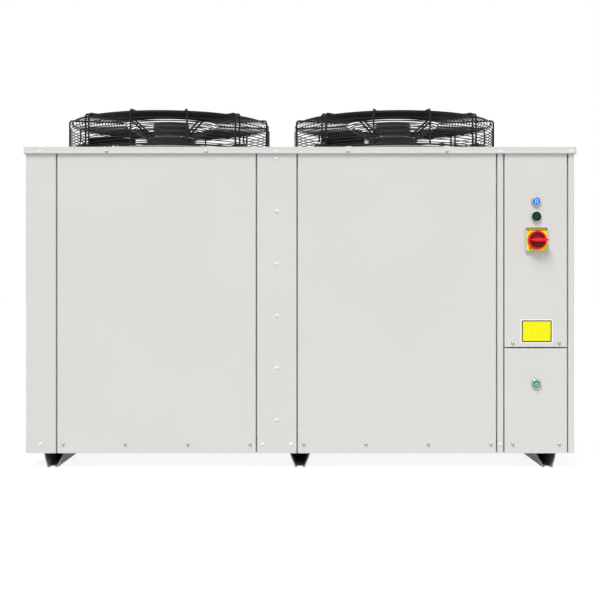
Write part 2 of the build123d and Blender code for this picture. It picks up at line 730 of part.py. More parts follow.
def main():
    """Build every piece and write one STEP file for each."""
    os.makedirs("parts", exist_ok=True)
    for side, x in (("left", -RAIL_SPREAD), ("centre", 0), ("right", RAIL_SPREAD)):
        save(base_rail(x), f"base_rail_{side}")
    save(base_tray(), "base_tray")

    for place, y_side in (("front", -1), ("rear", 1)):
        save(corner_post(LEFT_POST_FACE, -1, y_side), f"corner_post_{place}_left")
        save(corner_post(RIGHT_POST_FACE, 1, y_side), f"corner_post_{place}_right")
        save(hat_post(CENTRE_POST_X, CENTRE_POST_FACE, y_side), f"centre_post_{place}")
        save(hat_post(NARROW_POST_X, NARROW_POST_FACE, y_side), f"narrow_post_{place}")

    save(front_bay_panel(LEFT_POST_EDGE, CENTRE_POST_EDGES[0], BASE_Z, PANEL_TOP), "front_panel_left")
    save(
        front_bay_panel(CENTRE_POST_EDGES[1], NARROW_POST_EDGES[0], BASE_Z, PANEL_TOP),
        "front_panel_right",
    )
    split_z = BASE_Z + CONTROL_SPLIT
    column = (NARROW_POST_EDGES[1], RIGHT_POST_EDGE)
    upper_holes = [(CONTROL_X, BASE_Z + height) for height in (RESET_HEIGHT, LAMP_HEIGHT)]
    lower_holes = [(CONTROL_X, BASE_Z + START_HEIGHT)]
    save(front_bay_panel(*column, split_z + SEAM / 2, PANEL_TOP, upper_holes), "control_panel_upper")
    save(front_bay_panel(*column, BASE_Z, split_z - SEAM / 2, lower_holes), "control_panel_lower")
    save(end_panel(-1), "end_panel_left")
    save(end_panel(1), "end_panel_right")
    save(rear_machine_panel(), "rear_machine_panel")
    save(coil(LEFT_POST_EDGE - COIL_LAP, CENTRE_POST_EDGES[0] + COIL_LAP), "coil_left")
    save(coil(CENTRE_POST_EDGES[1] - COIL_LAP, NARROW_POST_X - SHEET / 2), "coil_right")
    save(partition(), "partition")
    save(roof_pan(), "roof_pan")

    for side, x in FAN_XS.items():
        save(fan_ring(x), f"fan_ring_{side}")
        save(fan_motor(x), f"fan_motor_{side}")
        save(fan_rotor(x), f"fan_rotor_{side}")
        save(fan_impeller(x), f"fan_impeller_{side}")
        save(guard_side(x), f"guard_side_{side}")
        save(guard_top(x), f"guard_top_{side}")

    save(
        crowned_can(
            COMPRESSOR_X,
            COMPRESSOR_Y,
            COMPRESSOR_RADIUS,
            COMPRESSOR_HEIGHT,
            COMPRESSOR_CROWN,
            COMPRESSOR_FOOT,
        ),
        "compressor",
    )
    save(
        crowned_can(RECEIVER_X, RECEIVER_Y, RECEIVER_RADIUS, RECEIVER_HEIGHT, RECEIVER_CROWN),
        "receiver",
    )

    save(bezel(RESET_HEIGHT, BEZEL_RADIUS, BEZEL_THICKNESS), "reset_button_bezel")
    save(push_button(RESET_HEIGHT), "reset_button")
    save(bezel(START_HEIGHT, BEZEL_RADIUS, BEZEL_THICKNESS), "start_button_bezel")
    save(push_button(START_HEIGHT), "start_button")
    save(bezel(LAMP_HEIGHT, LAMP_BEZEL_RADIUS, LAMP_BEZEL_THICKNESS), "lamp_bezel")
    save(lamp_lens(), "lamp_lens")
    save(isolator_plate(), "isolator_plate")
    save(isolator_handle(), "isolator_handle")


if __name__ == "__main__":
    main()
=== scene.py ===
import json
import math

import bmesh
import bpy
import numpy as np
from bpy.props import FloatProperty, FloatVectorProperty, IntProperty, PointerProperty
from bpy.types import Operator, Panel, PropertyGroup
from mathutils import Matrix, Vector


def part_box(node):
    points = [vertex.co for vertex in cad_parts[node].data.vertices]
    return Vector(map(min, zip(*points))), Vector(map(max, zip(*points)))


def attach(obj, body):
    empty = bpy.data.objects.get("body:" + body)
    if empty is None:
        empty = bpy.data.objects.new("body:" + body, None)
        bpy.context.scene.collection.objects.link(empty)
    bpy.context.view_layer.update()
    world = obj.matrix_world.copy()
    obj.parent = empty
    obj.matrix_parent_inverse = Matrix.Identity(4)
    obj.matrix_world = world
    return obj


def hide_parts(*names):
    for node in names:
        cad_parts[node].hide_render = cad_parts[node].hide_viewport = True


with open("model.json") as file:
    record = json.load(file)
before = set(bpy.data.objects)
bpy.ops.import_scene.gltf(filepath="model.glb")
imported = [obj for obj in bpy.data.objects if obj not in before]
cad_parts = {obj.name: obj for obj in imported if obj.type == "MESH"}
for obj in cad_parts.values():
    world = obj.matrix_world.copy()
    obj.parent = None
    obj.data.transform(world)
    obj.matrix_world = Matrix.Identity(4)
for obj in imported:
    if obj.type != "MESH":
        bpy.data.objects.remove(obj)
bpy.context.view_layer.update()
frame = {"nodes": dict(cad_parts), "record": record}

bl_info = {
    "name": "Condensing unit finish",
    "version": (1, 0, 0),
    "blender": (4, 5, 0),
    "location": "View3D > Sidebar > Unit",
    "description": "Guards, fans, fasteners, controls, coils and finishes of a condensing unit",
    "category": "Object",
}

MM = 0.001
FANS = ("left", "right")


def srgb(red, green, blue):
    """Linear colour of an 8-bit screen colour."""
    screen = np.array([red, green, blue]) / 255
    linear = np.where(screen <= 0.04045, screen / 12.92, ((screen + 0.055) / 1.055) ** 2.4)
    return tuple(linear.tolist())


def length(name, description, default):
    """A length setting in metres."""
    return FloatProperty(name=name, description=description, default=default, unit="LENGTH", precision=4)


def angle(name, description, degrees):
    """An angle setting, given in degrees."""
    return FloatProperty(name=name, description=description, default=math.radians(degrees), unit="ROTATION")


def count(name, description, default):
    """A whole-number setting."""
    return IntProperty(name=name, description=description, default=default, min=1)


def colour(name, description, default):
    """A colour setting."""
    return FloatVectorProperty(
        name=name, description=description, default=default, subtype="COLOR", min=0, max=1
    )


class FinishSettings(PropertyGroup):
    """Colours of the unit's finishes."""

    coat: colour("Cabinet coat", "Light grey powder coat of the panels", srgb(222, 222, 219))
    zinc: colour("Galvanised sheet", "Tray, rails and inner sheets", srgb(172, 174, 175))
    collar: colour("Fan collar", "Paint of the fans' bell mouths", srgb(156, 156, 154))
    wire: colour("Guard wire", "Black coat of the guards", srgb(44, 44, 44))
    motor: colour("Motor paint", "Black paint of the motors", srgb(66, 66, 66))
    blade: colour("Fan blade", "Black paint of the impellers", srgb(40, 40, 40))
    fin: colour("Coil fin", "Bare aluminium of the fins", srgb(205, 208, 210))
    duct: colour("Duct", "Black rubber of the cable ducts", srgb(20, 20, 21))


class GuardSettings(PropertyGroup):
    """Sizes of the wire guards, with heights counted from the roof."""

    radius: length("Rod circle", "Radius at the upright rods' centres", 337.5 * MM)
    height: length("Height", "Top of the rods over the roof", 128 * MM)
    rod: length("Rod", "Diameter of the rods", 6 * MM)
    wire: length("Ring wire", "Diameter of the fine rings", 3 * MM)
    bend: length("Shoulder", "Bend radius of the rods at the shoulder", 9 * MM)
    low_ring: length("Low ring", "Height of the thick ring at the feet", 17.5 * MM)
    side_first: length("First side ring", "Height of the lowest fine ring", 24 * MM)
    pitch: length("Ring pitch", "Spacing of the side and top rings", 9.3 * MM)
    side_rings: count("Side rings", "Fine rings round the side", 9)
    top_inner: length("Top opening", "Radius where the flat top turns down", 164 * MM)
    cone_bottom: length("Cone bottom", "Radius where the rods meet the motor's flange", 84 * MM)
    cone_drop: length("Cone bottom height", "Height of the rods where the cone ends", 82 * MM)
    cone_rings: count("Cone rings", "Fine rings round the cone", 9)
    arm_spacing: length("Arm spacing", "Distance between the two rods of an arm", 18 * MM)
    foot_screw: length("Foot screw circle", "Radius of the feet's screws", 357.5 * MM)
    foot_top: length("Foot height", "Top of the feet over the roof", 26 * MM)
    duct_width: length("Duct width", "Width of the cable's duct", 24 * MM)
    duct_height: length("Duct height", "Height of the cable's duct", 27 * MM)
    cable: length("Cable", "Diameter of the motor's cable", 9 * MM)


class FanSettings(PropertyGroup):
    """Sizes of the fans, with heights counted from the roof."""

    tip: length("Blade tip", "Radius at the blades' tips", 283 * MM)
    blades: count("Blades", "Number of blades", 5)
    turn: angle("Turn", "Angle of the first blade", -110)
    level: length("Blade level", "Height of the blades' middle", -35 * MM)
    chord: length("Chord", "Width of the bent band that the blades are cut from", 252 * MM)
    camber: length("Camber", "Height of the blades' arch", 15 * MM)
    stagger: angle("Stagger", "Lean of the blades", 20)
    root_width: length("Root width", "Width of a blade at the hub, seen from above", 96 * MM)
    tip_width: length("Tip width", "Width of a blade at the tip, seen from above", 234 * MM)
    bow: length("Bow", "Forward bow of the blades' edges", 14 * MM)
    throat: length("Throat", "Inside radius of the bell mouth", 289 * MM)
    depth: length("Throat depth", "Depth of the bell mouth under the roof", 75 * MM)
    lip: length("Collar", "Outside radius of the bell mouth's collar", 300 * MM)
    lip_height: length("Collar height", "Height of the collar over the roof", 18 * MM)
    housing: length("Motor housing", "Radius of the motor's upper housing", 60.5 * MM)
    housing_top: length("Motor top", "Height of the motor over the roof", 127.5 * MM)
    flange: length("Motor flange", "Radius of the motor's flange", 82.5 * MM)


class ControlSettings(PropertyGroup):
    """Sizes of the push buttons, lamp and main switch."""

    column: length("Column", "Distance of the controls from the middle", 719 * MM)
    bezel: length("Bezel", "Outside radius of a button's bezel", 15 * MM)
    cap: length("Cap", "Radius of a button's cap", 11 * MM)
    knob: length("Knob", "Radius of the main switch's handle", 28.5 * MM)


class StageSettings(PropertyGroup):
    """Camera, lamps and floor."""

    camera_distance: length("Camera distance", "Camera in front of the unit's middle", 3.652)
    camera_height: length("Camera height", "Camera over the floor", 0.547)
    focal_pixels: FloatProperty(name="Focal length", description="Focal length in picture pixels", default=1075)
    horizon_row: FloatProperty(name="Horizon", description="Picture row of the horizon", default=288)
    picture: IntProperty(name="Picture", description="Width and height of the picture in pixels", default=600)
    world: FloatProperty(name="World light", description="Strength of the all-round light", default=0.39)
    key: FloatProperty(name="Key lamp", description="Strength of the lamp at the upper left", default=2.78)
    fill: FloatProperty(name="Fill lamp", description="Strength of the lamp at the right", default=0.33)
    back: FloatProperty(name="Back lamp", description="Strength of the lamp behind the unit", default=0.74)
    shadow: FloatProperty(name="Shadow", description="Share of the floor's white that the lamps give", default=0.12)


SETTINGS = {
    "unit_finish": FinishSettings,
    "unit_guard": GuardSettings,
    "unit_fan": FanSettings,
    "unit_control": ControlSettings,
    "unit_stage": StageSettings,
}


def middle(node):
    """Middle of a CAD node's box."""
    low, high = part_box(node)
    return np.array((low + high) / 2)


ROOF_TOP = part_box("roof_pan")[1].z
ROOF_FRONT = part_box("roof_pan")[0].y
CABINET_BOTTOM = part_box("front_panel_left")[0].z
PANEL_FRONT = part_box("front_panel_left")[0].y
FAN_X = {side: middle(f"fan_rotor_{side}")[0] for side in FANS}


def grid_surface(points, wrap_rows=False, wrap_columns=False):
    """Quads between neighbouring rows and columns of a (rows, columns, 3) grid of points."""
    rows, columns = points.shape[:2]
    row = np.arange(rows if wrap_rows else rows - 1)[:, None]
    column = np.arange(columns if wrap_columns else columns - 1)[None, :]
    below = (row + 1) % rows
    beside = (column + 1) % columns
    corners = (
        row * columns + column,
        row * columns + beside,
        below * columns + beside,
        below * columns + column,
    )
    quads = np.stack(np.broadcast_arrays(*corners), axis=-1).reshape(-1, 4)
    return points.reshape(-1, 3), quads


def joined(surfaces):
    """Several surfaces as one, with their quads renumbered."""
    surfaces = list(surfaces)
    starts = np.cumsum([0] + [len(points) for points, quads in surfaces])
    points = np.concatenate([points for points, quads in surfaces])
    quads = np.concatenate([quads + start for (_, quads), start in zip(surfaces, starts)])
    return points, quads


def turned(profile, segments=48, closed=False):
    """Surface of revolution: each (radius, height) of the profile swept round the z axis."""
    radius, height = np.asarray(profile, float).T[:, :, None]
    angle = np.linspace(0, 2 * np.pi, segments, endpoint=False)[None, :]
    points = np.stack(
        np.broadcast_arrays(radius * np.cos(angle), radius * np.sin(angle), height), axis=-1
    )
    return grid_surface(points, wrap_rows=closed, wrap_columns=True)


def swept(path, section, sideways, closed=False):
    """Section carried along a flat path: its x points across the path, its y out of the path's plane."""
    path = np.asarray(path, float)
    if closed:
        ahead = np.roll(path, -1, axis=0) - np.roll(path, 1, axis=0)
    else:
        ahead = np.gradient(path, axis=0)
    ahead /= np.linalg.norm(ahead, axis=1, keepdims=True)
    out = np.asarray(sideways, float)
    across = np.cross(ahead, out)
    rings = path[:, None] + section[None, :, :1] * across[:, None] + section[None, :, 1:] * out
    if not closed:
        start = np.broadcast_to(path[:1, None], rings[:1].shape)
        end = np.broadcast_to(path[-1:, None], rings[:1].shape)
        rings = np.concatenate([start, rings, end])
    return grid_surface(rings, wrap_rows=closed, wrap_columns=True)


def prism(outline, low, high):
    """Outline of (x, y) points carried from one height to another, closed at both ends."""
    outline = np.asarray(outline, float)
    centre = np.broadcast_to(outline.mean(axis=0), outline.shape)
    levels = ((centre, low), (outline, low), (outline, high), (centre, high))
    points = np.stack([np.c_[shape, np.full(len(shape), level)] for shape, level in levels])
    return grid_surface(points, wrap_columns=True)


def bevelled_prism(outline, low, high, bevel):
    """Prism whose top edge is rounded over a quarter circle, by drawing the outline in to its middle."""
    outline = np.asarray(outline, float)
    centre = outline.mean(axis=0)
    reach = np.linalg.norm(outline - centre, axis=1, keepdims=True)
    turn = np.linspace(0, np.pi / 2, 5)
    rows = [np.c_[np.broadcast_to(centre, outline.shape), np.full(len(outline), low)]]
    rows.append(np.c_[outline, np.full(len(outline), low)])
    for angle in turn:
        inset = bevel * (1 - math.cos(angle))
        shape = centre + (outline - centre) * (1 - inset / reach)
        rows.append(np.c_[shape, np.full(len(outline), high - bevel + bevel * math.sin(angle))])
    rows.append(np.c_[np.broadcast_to(centre, outline.shape), np.full(len(outline), high)])
    return grid_surface(np.stack(rows), wrap_columns=True)


def round_section(radius, sides=8):
    """Circle of a wire."""
    angle = np.linspace(0, 2 * np.pi, sides, endpoint=False)
    return radius * np.stack([np.cos(angle), np.sin(angle)], axis=1)


def box_section(width, height):
    """Rectangle of a flat strip."""
    x, y = width / 2, height / 2
    return np.array([(-x, -y), (x, -y), (x, y), (-x, y)])


def rounded_rectangle(width, height, radius, steps=6):
    """Outline of a rectangle whose corners are quarter circles."""
    turn = np.linspace(0, np.pi / 2, steps)
    corner = np.stack([np.cos(turn), np.sin(turn)], axis=1) * radius
    signs = ((1, 1, 0), (-1, 1, 1), (-1, -1, 2), (1, -1, 3))
    pieces = []
    for x_side, y_side, quarter in signs:
        angle = quarter * np.pi / 2
        spin = np.array([[math.cos(angle), math.sin(angle)], [-math.sin(angle), math.cos(angle)]])
        centre = (x_side * (width / 2 - radius), y_side * (height / 2 - radius))
        pieces.append(corner @ spin + centre)
    return np.concatenate(pieces)


def arc(centre, radius, start, end, steps):
    """Points of a circular arc in a plane, angles in degrees."""
    angle = np.radians(np.linspace(start, end, steps))
    return np.asarray(centre) + radius * np.stack([np.cos(angle), np.sin(angle)], axis=1)


def softened(points, rounds=3, closed=False):
    """Path whose corners are cut to a quarter of each side again and again, which rounds them."""
    points = np.asarray(points, float)
    for _ in range(rounds):
        ahead = np.roll(points, -1, axis=0) if closed else points[1:]
        behind = points if closed else points[:-1]
        cut = np.stack([0.75 * behind + 0.25 * ahead, 0.25 * behind + 0.75 * ahead], axis=1).reshape(-1, 2)
        points = cut if closed else np.concatenate([points[:1], cut, points[-1:]])
    return points


def circle_through(points):
    """Centre and radius of the circle through three (x, y) points."""
    points = np.asarray(points, float)
    squares = (points**2).sum(axis=1)
    centre = np.linalg.solve(2 * (points[1:] - points[0]), squares[1:] - squares[0])
    return centre, np.linalg.norm(points[0] - centre)


def placement(origins, out, across):
    """Matrices that stand a shape's z on the direction out and its x on across, at each origin."""
    origins = np.atleast_2d(np.asarray(origins, float))
    out = np.asarray(out, float) / np.linalg.norm(out)
    across = np.asarray(across, float) / np.linalg.norm(across)
    places = np.zeros((len(origins), 3, 4))
    places[:, :, 0] = across
    places[:, :, 1] = np.cross(out, across)
    places[:, :, 2] = out
    places[:, :, 3] = origins
    return places


def shift(x, y):
    """Matrix that moves a shape sideways."""
    return placement([(x, y, 0)], (0, 0, 1), (1, 0, 0))


def turns(x, angles, height=0.0):
    """Matrices that turn a shape about a fan's axis to each angle in degrees."""
    angle = np.radians(np.atleast_1d(angles))
    places = np.zeros((len(angle), 3, 4))
    places[:, 0, 0] = places[:, 1, 1] = np.cos(angle)
    places[:, 1, 0] = np.sin(angle)
    places[:, 0, 1] = -np.sin(angle)
    places[:, 2, 2] = 1
    places[:, 0, 3] = x
    places[:, 2, 3] = ROOF_TOP + height
    return places


def placed(surface, places):
    """Copies of a surface, one for each placement matrix."""
    points, quads = surface
    moved = np.einsum("kij,nj->kni", places[:, :, :3], points) + places[:, None, :, 3]
    steps = (np.arange(len(places)) * len(points))[:, None, None]
    return moved.reshape(-1, 3), (quads[None] + steps).reshape(-1, 4)


def add_piece(name, surfaces, finishes, body, replaced=(), sharp=40):
    """Mesh object from surfaces, one finish for each, riding on a body of the frame."""
    surfaces = list(surfaces)
    points, quads = joined(surfaces)
    mesh = bpy.data.meshes.new(name)
    mesh.from_pydata(points, [], quads)
    owner = np.repeat(np.arange(len(surfaces)), [len(faces) for _, faces in surfaces])
    named = list(dict.fromkeys(finishes))
    for finish in named:
        mesh.materials.append(bpy.data.materials[finish])
    index = np.array([named.index(finish) for finish in finishes])
    mesh.polygons.foreach_set("material_index", index[owner])
    shape = bmesh.new()
    shape.from_mesh(mesh)
    bmesh.ops.remove_doubles(shape, verts=shape.verts, dist=0.5e-6)
    bmesh.ops.recalc_face_normals(shape, faces=shape.faces)
    shape.to_mesh(mesh)
    shape.free()
    mesh.shade_smooth()
    mesh.set_sharp_from_angle(angle=math.radians(sharp))
    piece = bpy.data.objects.new(name, mesh)
    bpy.context.scene.collection.objects.link(piece)
    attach(piece, body)
    if replaced:
        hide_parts(*replaced)
    return piece


def new_finish(name, base, roughness, metallic=0.0, specular=0.5):
    """Plain shader, ready for its grain and mottle; a material of the frame with that name is taken over."""
    material = bpy.data.materials.get(name) or bpy.data.materials.new(name)
    material.use_nodes = True
    material.diffuse_color = (*base, 1)
    shader = material.node_tree.nodes["Principled BSDF"]
    shader.inputs["Base Color"].default_value = (*base, 1)
    shader.inputs["Roughness"].default_value = roughness
    shader.inputs["Metallic"].default_value = metallic
    shader.inputs["Specular IOR Level"].default_value = specular
    return material


def pattern(material, kind, scale, stretch=(1, 1, 1), **sockets):
    """Texture node on Object coordinates, in features per metre."""
    tree = material.node_tree
    place = tree.nodes.new("ShaderNodeTexCoord")
    mapping = tree.nodes.new("ShaderNodeMapping")
    mapping.inputs["Scale"].default_value = stretch
    texture = tree.nodes.new(kind)
    texture.inputs["Scale"].default_value = scale
    for socket, value in sockets.items():
        texture.inputs[socket].default_value = value
    tree.links.new(place.outputs["Object"], mapping.inputs["Vector"])
    tree.links.new(mapping.outputs["Vector"], texture.inputs["Vector"])
    return texture


def add_grain(material, texture, depth, strength=1.0, output=0):
    """Bump of a texture, depth in metres, on top of any bump already there."""
    tree = material.node_tree
    shader = tree.nodes["Principled BSDF"]
    bump = tree.nodes.new("ShaderNodeBump")
    bump.inputs["Distance"].default_value = depth
    bump.inputs["Strength"].default_value = strength
    tree.links.new(texture.outputs[output], bump.inputs["Height"])
    if shader.inputs["Normal"].is_linked:
        tree.links.new(shader.inputs["Normal"].links[0].from_socket, bump.inputs["Normal"])
    tree.links.new(bump.outputs["Normal"], shader.inputs["Normal"])


def add_mottle(material, texture, base, darker, output=0):
    """Base colour that drifts between the base and a darker share of it."""
    tree = material.node_tree
    ramp = tree.nodes.new("ShaderNodeValToRGB")
    ramp.color_ramp.elements[0].position = 0.3
    ramp.color_ramp.elements[0].color = (*[channel * darker for channel in base], 1)
    ramp.color_ramp.elements[1].position = 0.7
    ramp.color_ramp.elements[1].color = (*base, 1)
    tree.links.new(texture.outputs[output], ramp.inputs["Fac"])
    tree.links.new(ramp.outputs["Color"], tree.nodes["Principled BSDF"].inputs["Base Color"])


def add_gloss(material, texture, low, high, output=0):
    """Roughness that drifts between two values."""
    tree = material.node_tree
    spread = tree.nodes.new("ShaderNodeMapRange")
    spread.inputs["From Min"].default_value = 0.25
    spread.inputs["From Max"].default_value = 0.75
    spread.inputs["To Min"].default_value = low
    spread.inputs["To Max"].default_value = high
    tree.links.new(texture.outputs[output], spread.inputs["Value"])
    tree.links.new(spread.outputs["Result"], tree.nodes["Principled BSDF"].inputs["Roughness"])


def powder_coat(name, base):
    """Powder coat: fine orange peel, a slight drift of tint and gloss."""
    material = new_finish(name, base, 0.45, specular=0.3)
    add_mottle(material, pattern(material, "ShaderNodeTexNoise", 3, Detail=3.0), base, 0.975)
    add_gloss(material, pattern(material, "ShaderNodeTexNoise", 24, Detail=2.0), 0.4, 0.52)
    add_grain(material, pattern(material, "ShaderNodeTexNoise", 520, Detail=2.0), 0.05 * MM, 0.6)


def galvanised(name, base, roughness=0.42):
    """Hot-dip zinc: crystals of differing grey, dull metal, faint ripple."""
    material = new_finish(name, base, roughness, 0.75)
    crystals = pattern(material, "ShaderNodeTexVoronoi", 110)
    tree = material.node_tree
    grey = tree.nodes.new("ShaderNodeSeparateColor")
    tree.links.new(crystals.outputs["Color"], grey.inputs["Color"])
    add_mottle(material, grey, base, 0.8)
    add_gloss(material, grey, roughness - 0.08, roughness + 0.1, output=1)
    add_grain(material, pattern(material, "ShaderNodeTexNoise", 90, Detail=3.0), 0.08 * MM, 0.5)


def wire_coat(name, base):
    """Dipped black coat on wire: satin, with a soft uneven skin."""
    material = new_finish(name, base, 0.55, specular=0.12)
    add_mottle(material, pattern(material, "ShaderNodeTexNoise", 60, Detail=2.0), base, 0.8)
    add_grain(material, pattern(material, "ShaderNodeTexNoise", 700, Detail=2.0), 0.06 * MM, 0.6)


def cast_paint(name, base):
    """Black paint over a sand casting: pitted skin and uneven gloss."""
    material = new_finish(name, base, 0.5)
    add_mottle(material, pattern(material, "ShaderNodeTexNoise", 40, Detail=4.0), base, 0.7)
    add_gloss(material, pattern(material, "ShaderNodeTexNoise", 70, Detail=2.0), 0.42, 0.62)
    add_grain(material, pattern(material, "ShaderNodeTexNoise", 380, Detail=4.0), 0.25 * MM, 0.7)


def sheet_paint(name, base, roughness=0.4, metallic=0.0, specular=0.5):
    """Thin paint over pressed metal: faint grain."""
    material = new_finish(name, base, roughness, metallic, specular)
    add_mottle(material, pattern(material, "ShaderNodeTexNoise", 12, Detail=3.0), base, 0.88)
    add_gloss(material, pattern(material, "ShaderNodeTexNoise", 30, Detail=2.0), roughness - 0.06, roughness + 0.1)
    add_grain(material, pattern(material, "ShaderNodeTexNoise", 450, Detail=2.0), 0.04 * MM, 0.6)


def bright_zinc(name, base):
    """Plated screw steel: bright, with a fine turned grain."""
    material = new_finish(name, base, 0.28, 1.0)
    add_mottle(material, pattern(material, "ShaderNodeTexNoise", 500, Detail=2.0), base, 0.86)
    add_gloss(material, pattern(material, "ShaderNodeTexNoise", 900, Detail=2.0), 0.2, 0.36)
    add_grain(material, pattern(material, "ShaderNodeTexNoise", 1500, Detail=1.0), 0.02 * MM, 0.5)


def moulded(name, base, roughness=0.4, specular=0.2):
    """Moulded plastic: even colour with a fine eroded grain."""
    material = new_finish(name, base, roughness, specular=specular)
    add_mottle(material, pattern(material, "ShaderNodeTexNoise", 90, Detail=2.0), base, 0.94)
    add_gloss(material, pattern(material, "ShaderNodeTexNoise", 200, Detail=2.0), roughness - 0.05, roughness + 0.08)
    add_grain(material, pattern(material, "ShaderNodeTexNoise", 900, Detail=2.0), 0.03 * MM, 0.6)


def ribbed_lens(name, base):
    """Deep green plastic of the unlit lamp, moulded with fine ribs."""
    material = new_finish(name, base, 0.12, specular=0.12)
    add_mottle(material, pattern(material, "ShaderNodeTexNoise", 150, Detail=2.0), base, 0.85)
    ribs = pattern(material, "ShaderNodeTexWave", 320)
    ribs.wave_type = "RINGS"
    ribs.rings_direction = "Y"
    add_grain(material, ribs, 0.05 * MM, 0.5)


def fin_metal(name, base):
    """Bare fin aluminium: bright, drawn lengthwise."""
    material = new_finish(name, base, 0.35, 0.9)
    drawn = pattern(material, "ShaderNodeTexNoise", 60, (1, 1, 0.05), Detail=3.0)
    add_mottle(material, drawn, base, 0.85)
    add_gloss(material, drawn, 0.28, 0.45)
    add_grain(material, pattern(material, "ShaderNodeTexNoise", 400, Detail=2.0), 0.03 * MM, 0.5)


def make_finishes(settings):
    """Every finish of the unit, named after the record's slots where one exists."""
    powder_coat("cabinet", settings.coat)
    powder_coat("painted_rivet", srgb(252, 252, 250))
    galvanised("galvanised", settings.zinc)
    sheet_paint("rail_steel", srgb(146, 147, 147), 0.6, specular=0.3)
    fin_metal("coil_fins", settings.fin)
    sheet_paint("copper_tube", srgb(176, 112, 82), 0.35, 1.0)
    sheet_paint("fan_ring", settings.collar)
    cast_paint("motor", settings.motor)
    sheet_paint("impeller", settings.blade, 0.46)
    wire_coat("guard_wire", settings.wire)
    sheet_paint("machine_black", srgb(30, 31, 32), 0.3)
    moulded("duct", settings.duct, 0.7, 0.1)
    bright_zinc("screw_steel", srgb(188, 178, 173))
    # The bezel's one metal is split in two: a darker tan copy on the outer wall and rounding (painted shade) and a
    # near-white copy on the flat face (painted highlight).
    bright_zinc("bezel", srgb(166, 150, 138))
    bright_zinc("bezel_painted_highlight", srgb(236, 234, 232))
    moulded("lamp_rim", srgb(214, 206, 212))
    ribbed_lens("lamp_green", srgb(12, 36, 17))
    moulded("lamp_core", srgb(44, 60, 42), 0.5, 0.1)
    moulded("isolator_yellow", srgb(250, 246, 14))
    moulded("isolator_header", srgb(196, 182, 44))
    moulded("isolator_edge", srgb(200, 198, 220))
    # Bright green crescent on the unlit lamp's lens: a painted highlight, not a light.
    moulded("lamp_painted_highlight", srgb(14, 146, 26))
    moulded("isolator_red", srgb(255, 30, 44))
    # Darker copy of the handle's red for the dish inside its rim: painted shade in the recess.
    moulded("isolator_red_painted_shade", srgb(122, 40, 46), 0.5)
    moulded("switch_black", srgb(28, 28, 30))
    moulded("button_blue", srgb(14, 134, 255))
    moulded("button_green", srgb(44, 150, 122))
    moulded("legend_white", srgb(240, 242, 246))
    moulded("plate_white", srgb(255, 255, 253))
    moulded("plate_dark", srgb(34, 32, 56), 0.45)
    moulded("mandrel_grey", srgb(104, 104, 104))
    moulded("plate_yellow", srgb(255, 248, 24), 0.45)


class UNIT_OT_finish_cabinet(Operator):
    """Give every sheet, casting and control of the frame its finish, and roll the roof's hem"""

    bl_idname = "unit.finish_cabinet"
    bl_label = "Finish the cabinet"

    def execute(self, context):
        make_finishes(context.scene.unit_finish)
        for part in frame["record"]["subparts"]:
            materials = frame["nodes"][part["node"]].data.materials
            finish = bpy.data.materials[part["material_slot"]]
            if len(materials):
                materials[0] = finish
            else:
                materials.append(finish)
        low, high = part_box("roof_pan")
        outline = rounded_rectangle(high.x - low.x - 2 * MM, high.y - low.y - 2 * MM, 5 * MM, 8)
        path = np.c_[outline, np.full(len(outline), low.z + 2.6 * MM)]
        section = rounded_rectangle(3 * MM, 5.2 * MM, 1.2 * MM, 4)
        add_piece("roof_hem", [swept(path, section, (0, 0, 1), closed=True)], ["cabinet"], "cabinet")
        return {"FINISHED"}


def ring_path(radius, height, steps=128):
    """Circle of points about the z axis."""
    angle = np.linspace(0, 2 * np.pi, steps, endpoint=False)
    return np.stack([radius * np.cos(angle), radius * np.sin(angle), np.full(steps, height)], axis=1)


def wire_rings(guard):
    """Fine rings of a guard: up the side, across the flat top and down the cone, plus the foot ring."""
    wire = round_section(guard.wire / 2, 6)
    inside = guard.radius - guard.rod / 2 - guard.wire / 2
    level = guard.height - guard.rod - guard.wire / 2
    places = [(inside, guard.side_first + guard.pitch * step) for step in range(guard.side_rings)]
    first = guard.radius - guard.bend - guard.rod / 2
    shoulder = np.radians((28, 62))
    places += [
        (first + (guard.bend - guard.wire) * math.cos(turn), level - guard.bend + guard.bend * math.sin(turn))
        for turn in shoulder
    ]
    top_count = round((first - guard.top_inner) / guard.pitch)
    places += [(radius, level) for radius in np.linspace(first, guard.top_inner, top_count + 1)]
    share = np.arange(1, guard.cone_rings + 1) / (guard.cone_rings + 0.6)
    cone_radius = guard.top_inner + (guard.cone_bottom - guard.top_inner) * share
    cone_height = level + (guard.cone_drop - guard.rod - level) * share
    places += list(zip(cone_radius, cone_height))
    rings = [swept(ring_path(radius, height), wire, (0, 0, 1), closed=True) for radius, height in places]
    foot_ring = swept(
        ring_path(guard.radius - guard.rod, guard.low_ring),
        round_section(guard.rod / 2, 8),
        (0, 0, 1),
        closed=True,
    )
    return joined(rings + [foot_ring])


def rod_path(guard, to_cone):
    """Centre line of a rod in its upright plane: up the side, round the shoulder and inwards."""
    low = guard.low_ring - 3.5 * MM
    level = guard.height - guard.rod / 2
    bend_centre = (guard.radius - guard.bend, level - guard.bend)
    points = [(guard.radius, low), (guard.radius, (low + bend_centre[1]) / 2)]
    points += arc(bend_centre, guard.bend, 0, 90, 9).tolist()
    if not to_cone:
        points += [(guard.radius / 2 + guard.top_inner / 2, level), (guard.top_inner - guard.wire, level)]
        return np.array(points)
    share = np.linspace(0, 1, 7)[:, None]
    edge = np.array([guard.top_inner, level])
    out, down = edge + (12 * MM, 0), edge + (-11 * MM, -5.6 * MM)
    curve = (1 - share) ** 2 * out + 2 * share * (1 - share) * edge + share**2 * down
    points += curve.tolist()
    points += [(guard.cone_bottom + 6 * MM, guard.cone_drop), (guard.cone_bottom - 14 * MM, guard.cone_drop)]
    return np.array(points)


def arm_loop(guard):
    """Bend that joins the lower ends of an arm's two rods, in the plane across the arm."""
    half = guard.arm_spacing / 2
    points = arc((0, guard.low_ring - 3.5 * MM), half, 180, 360, 13)
    return np.c_[np.full(len(points), guard.radius), points]


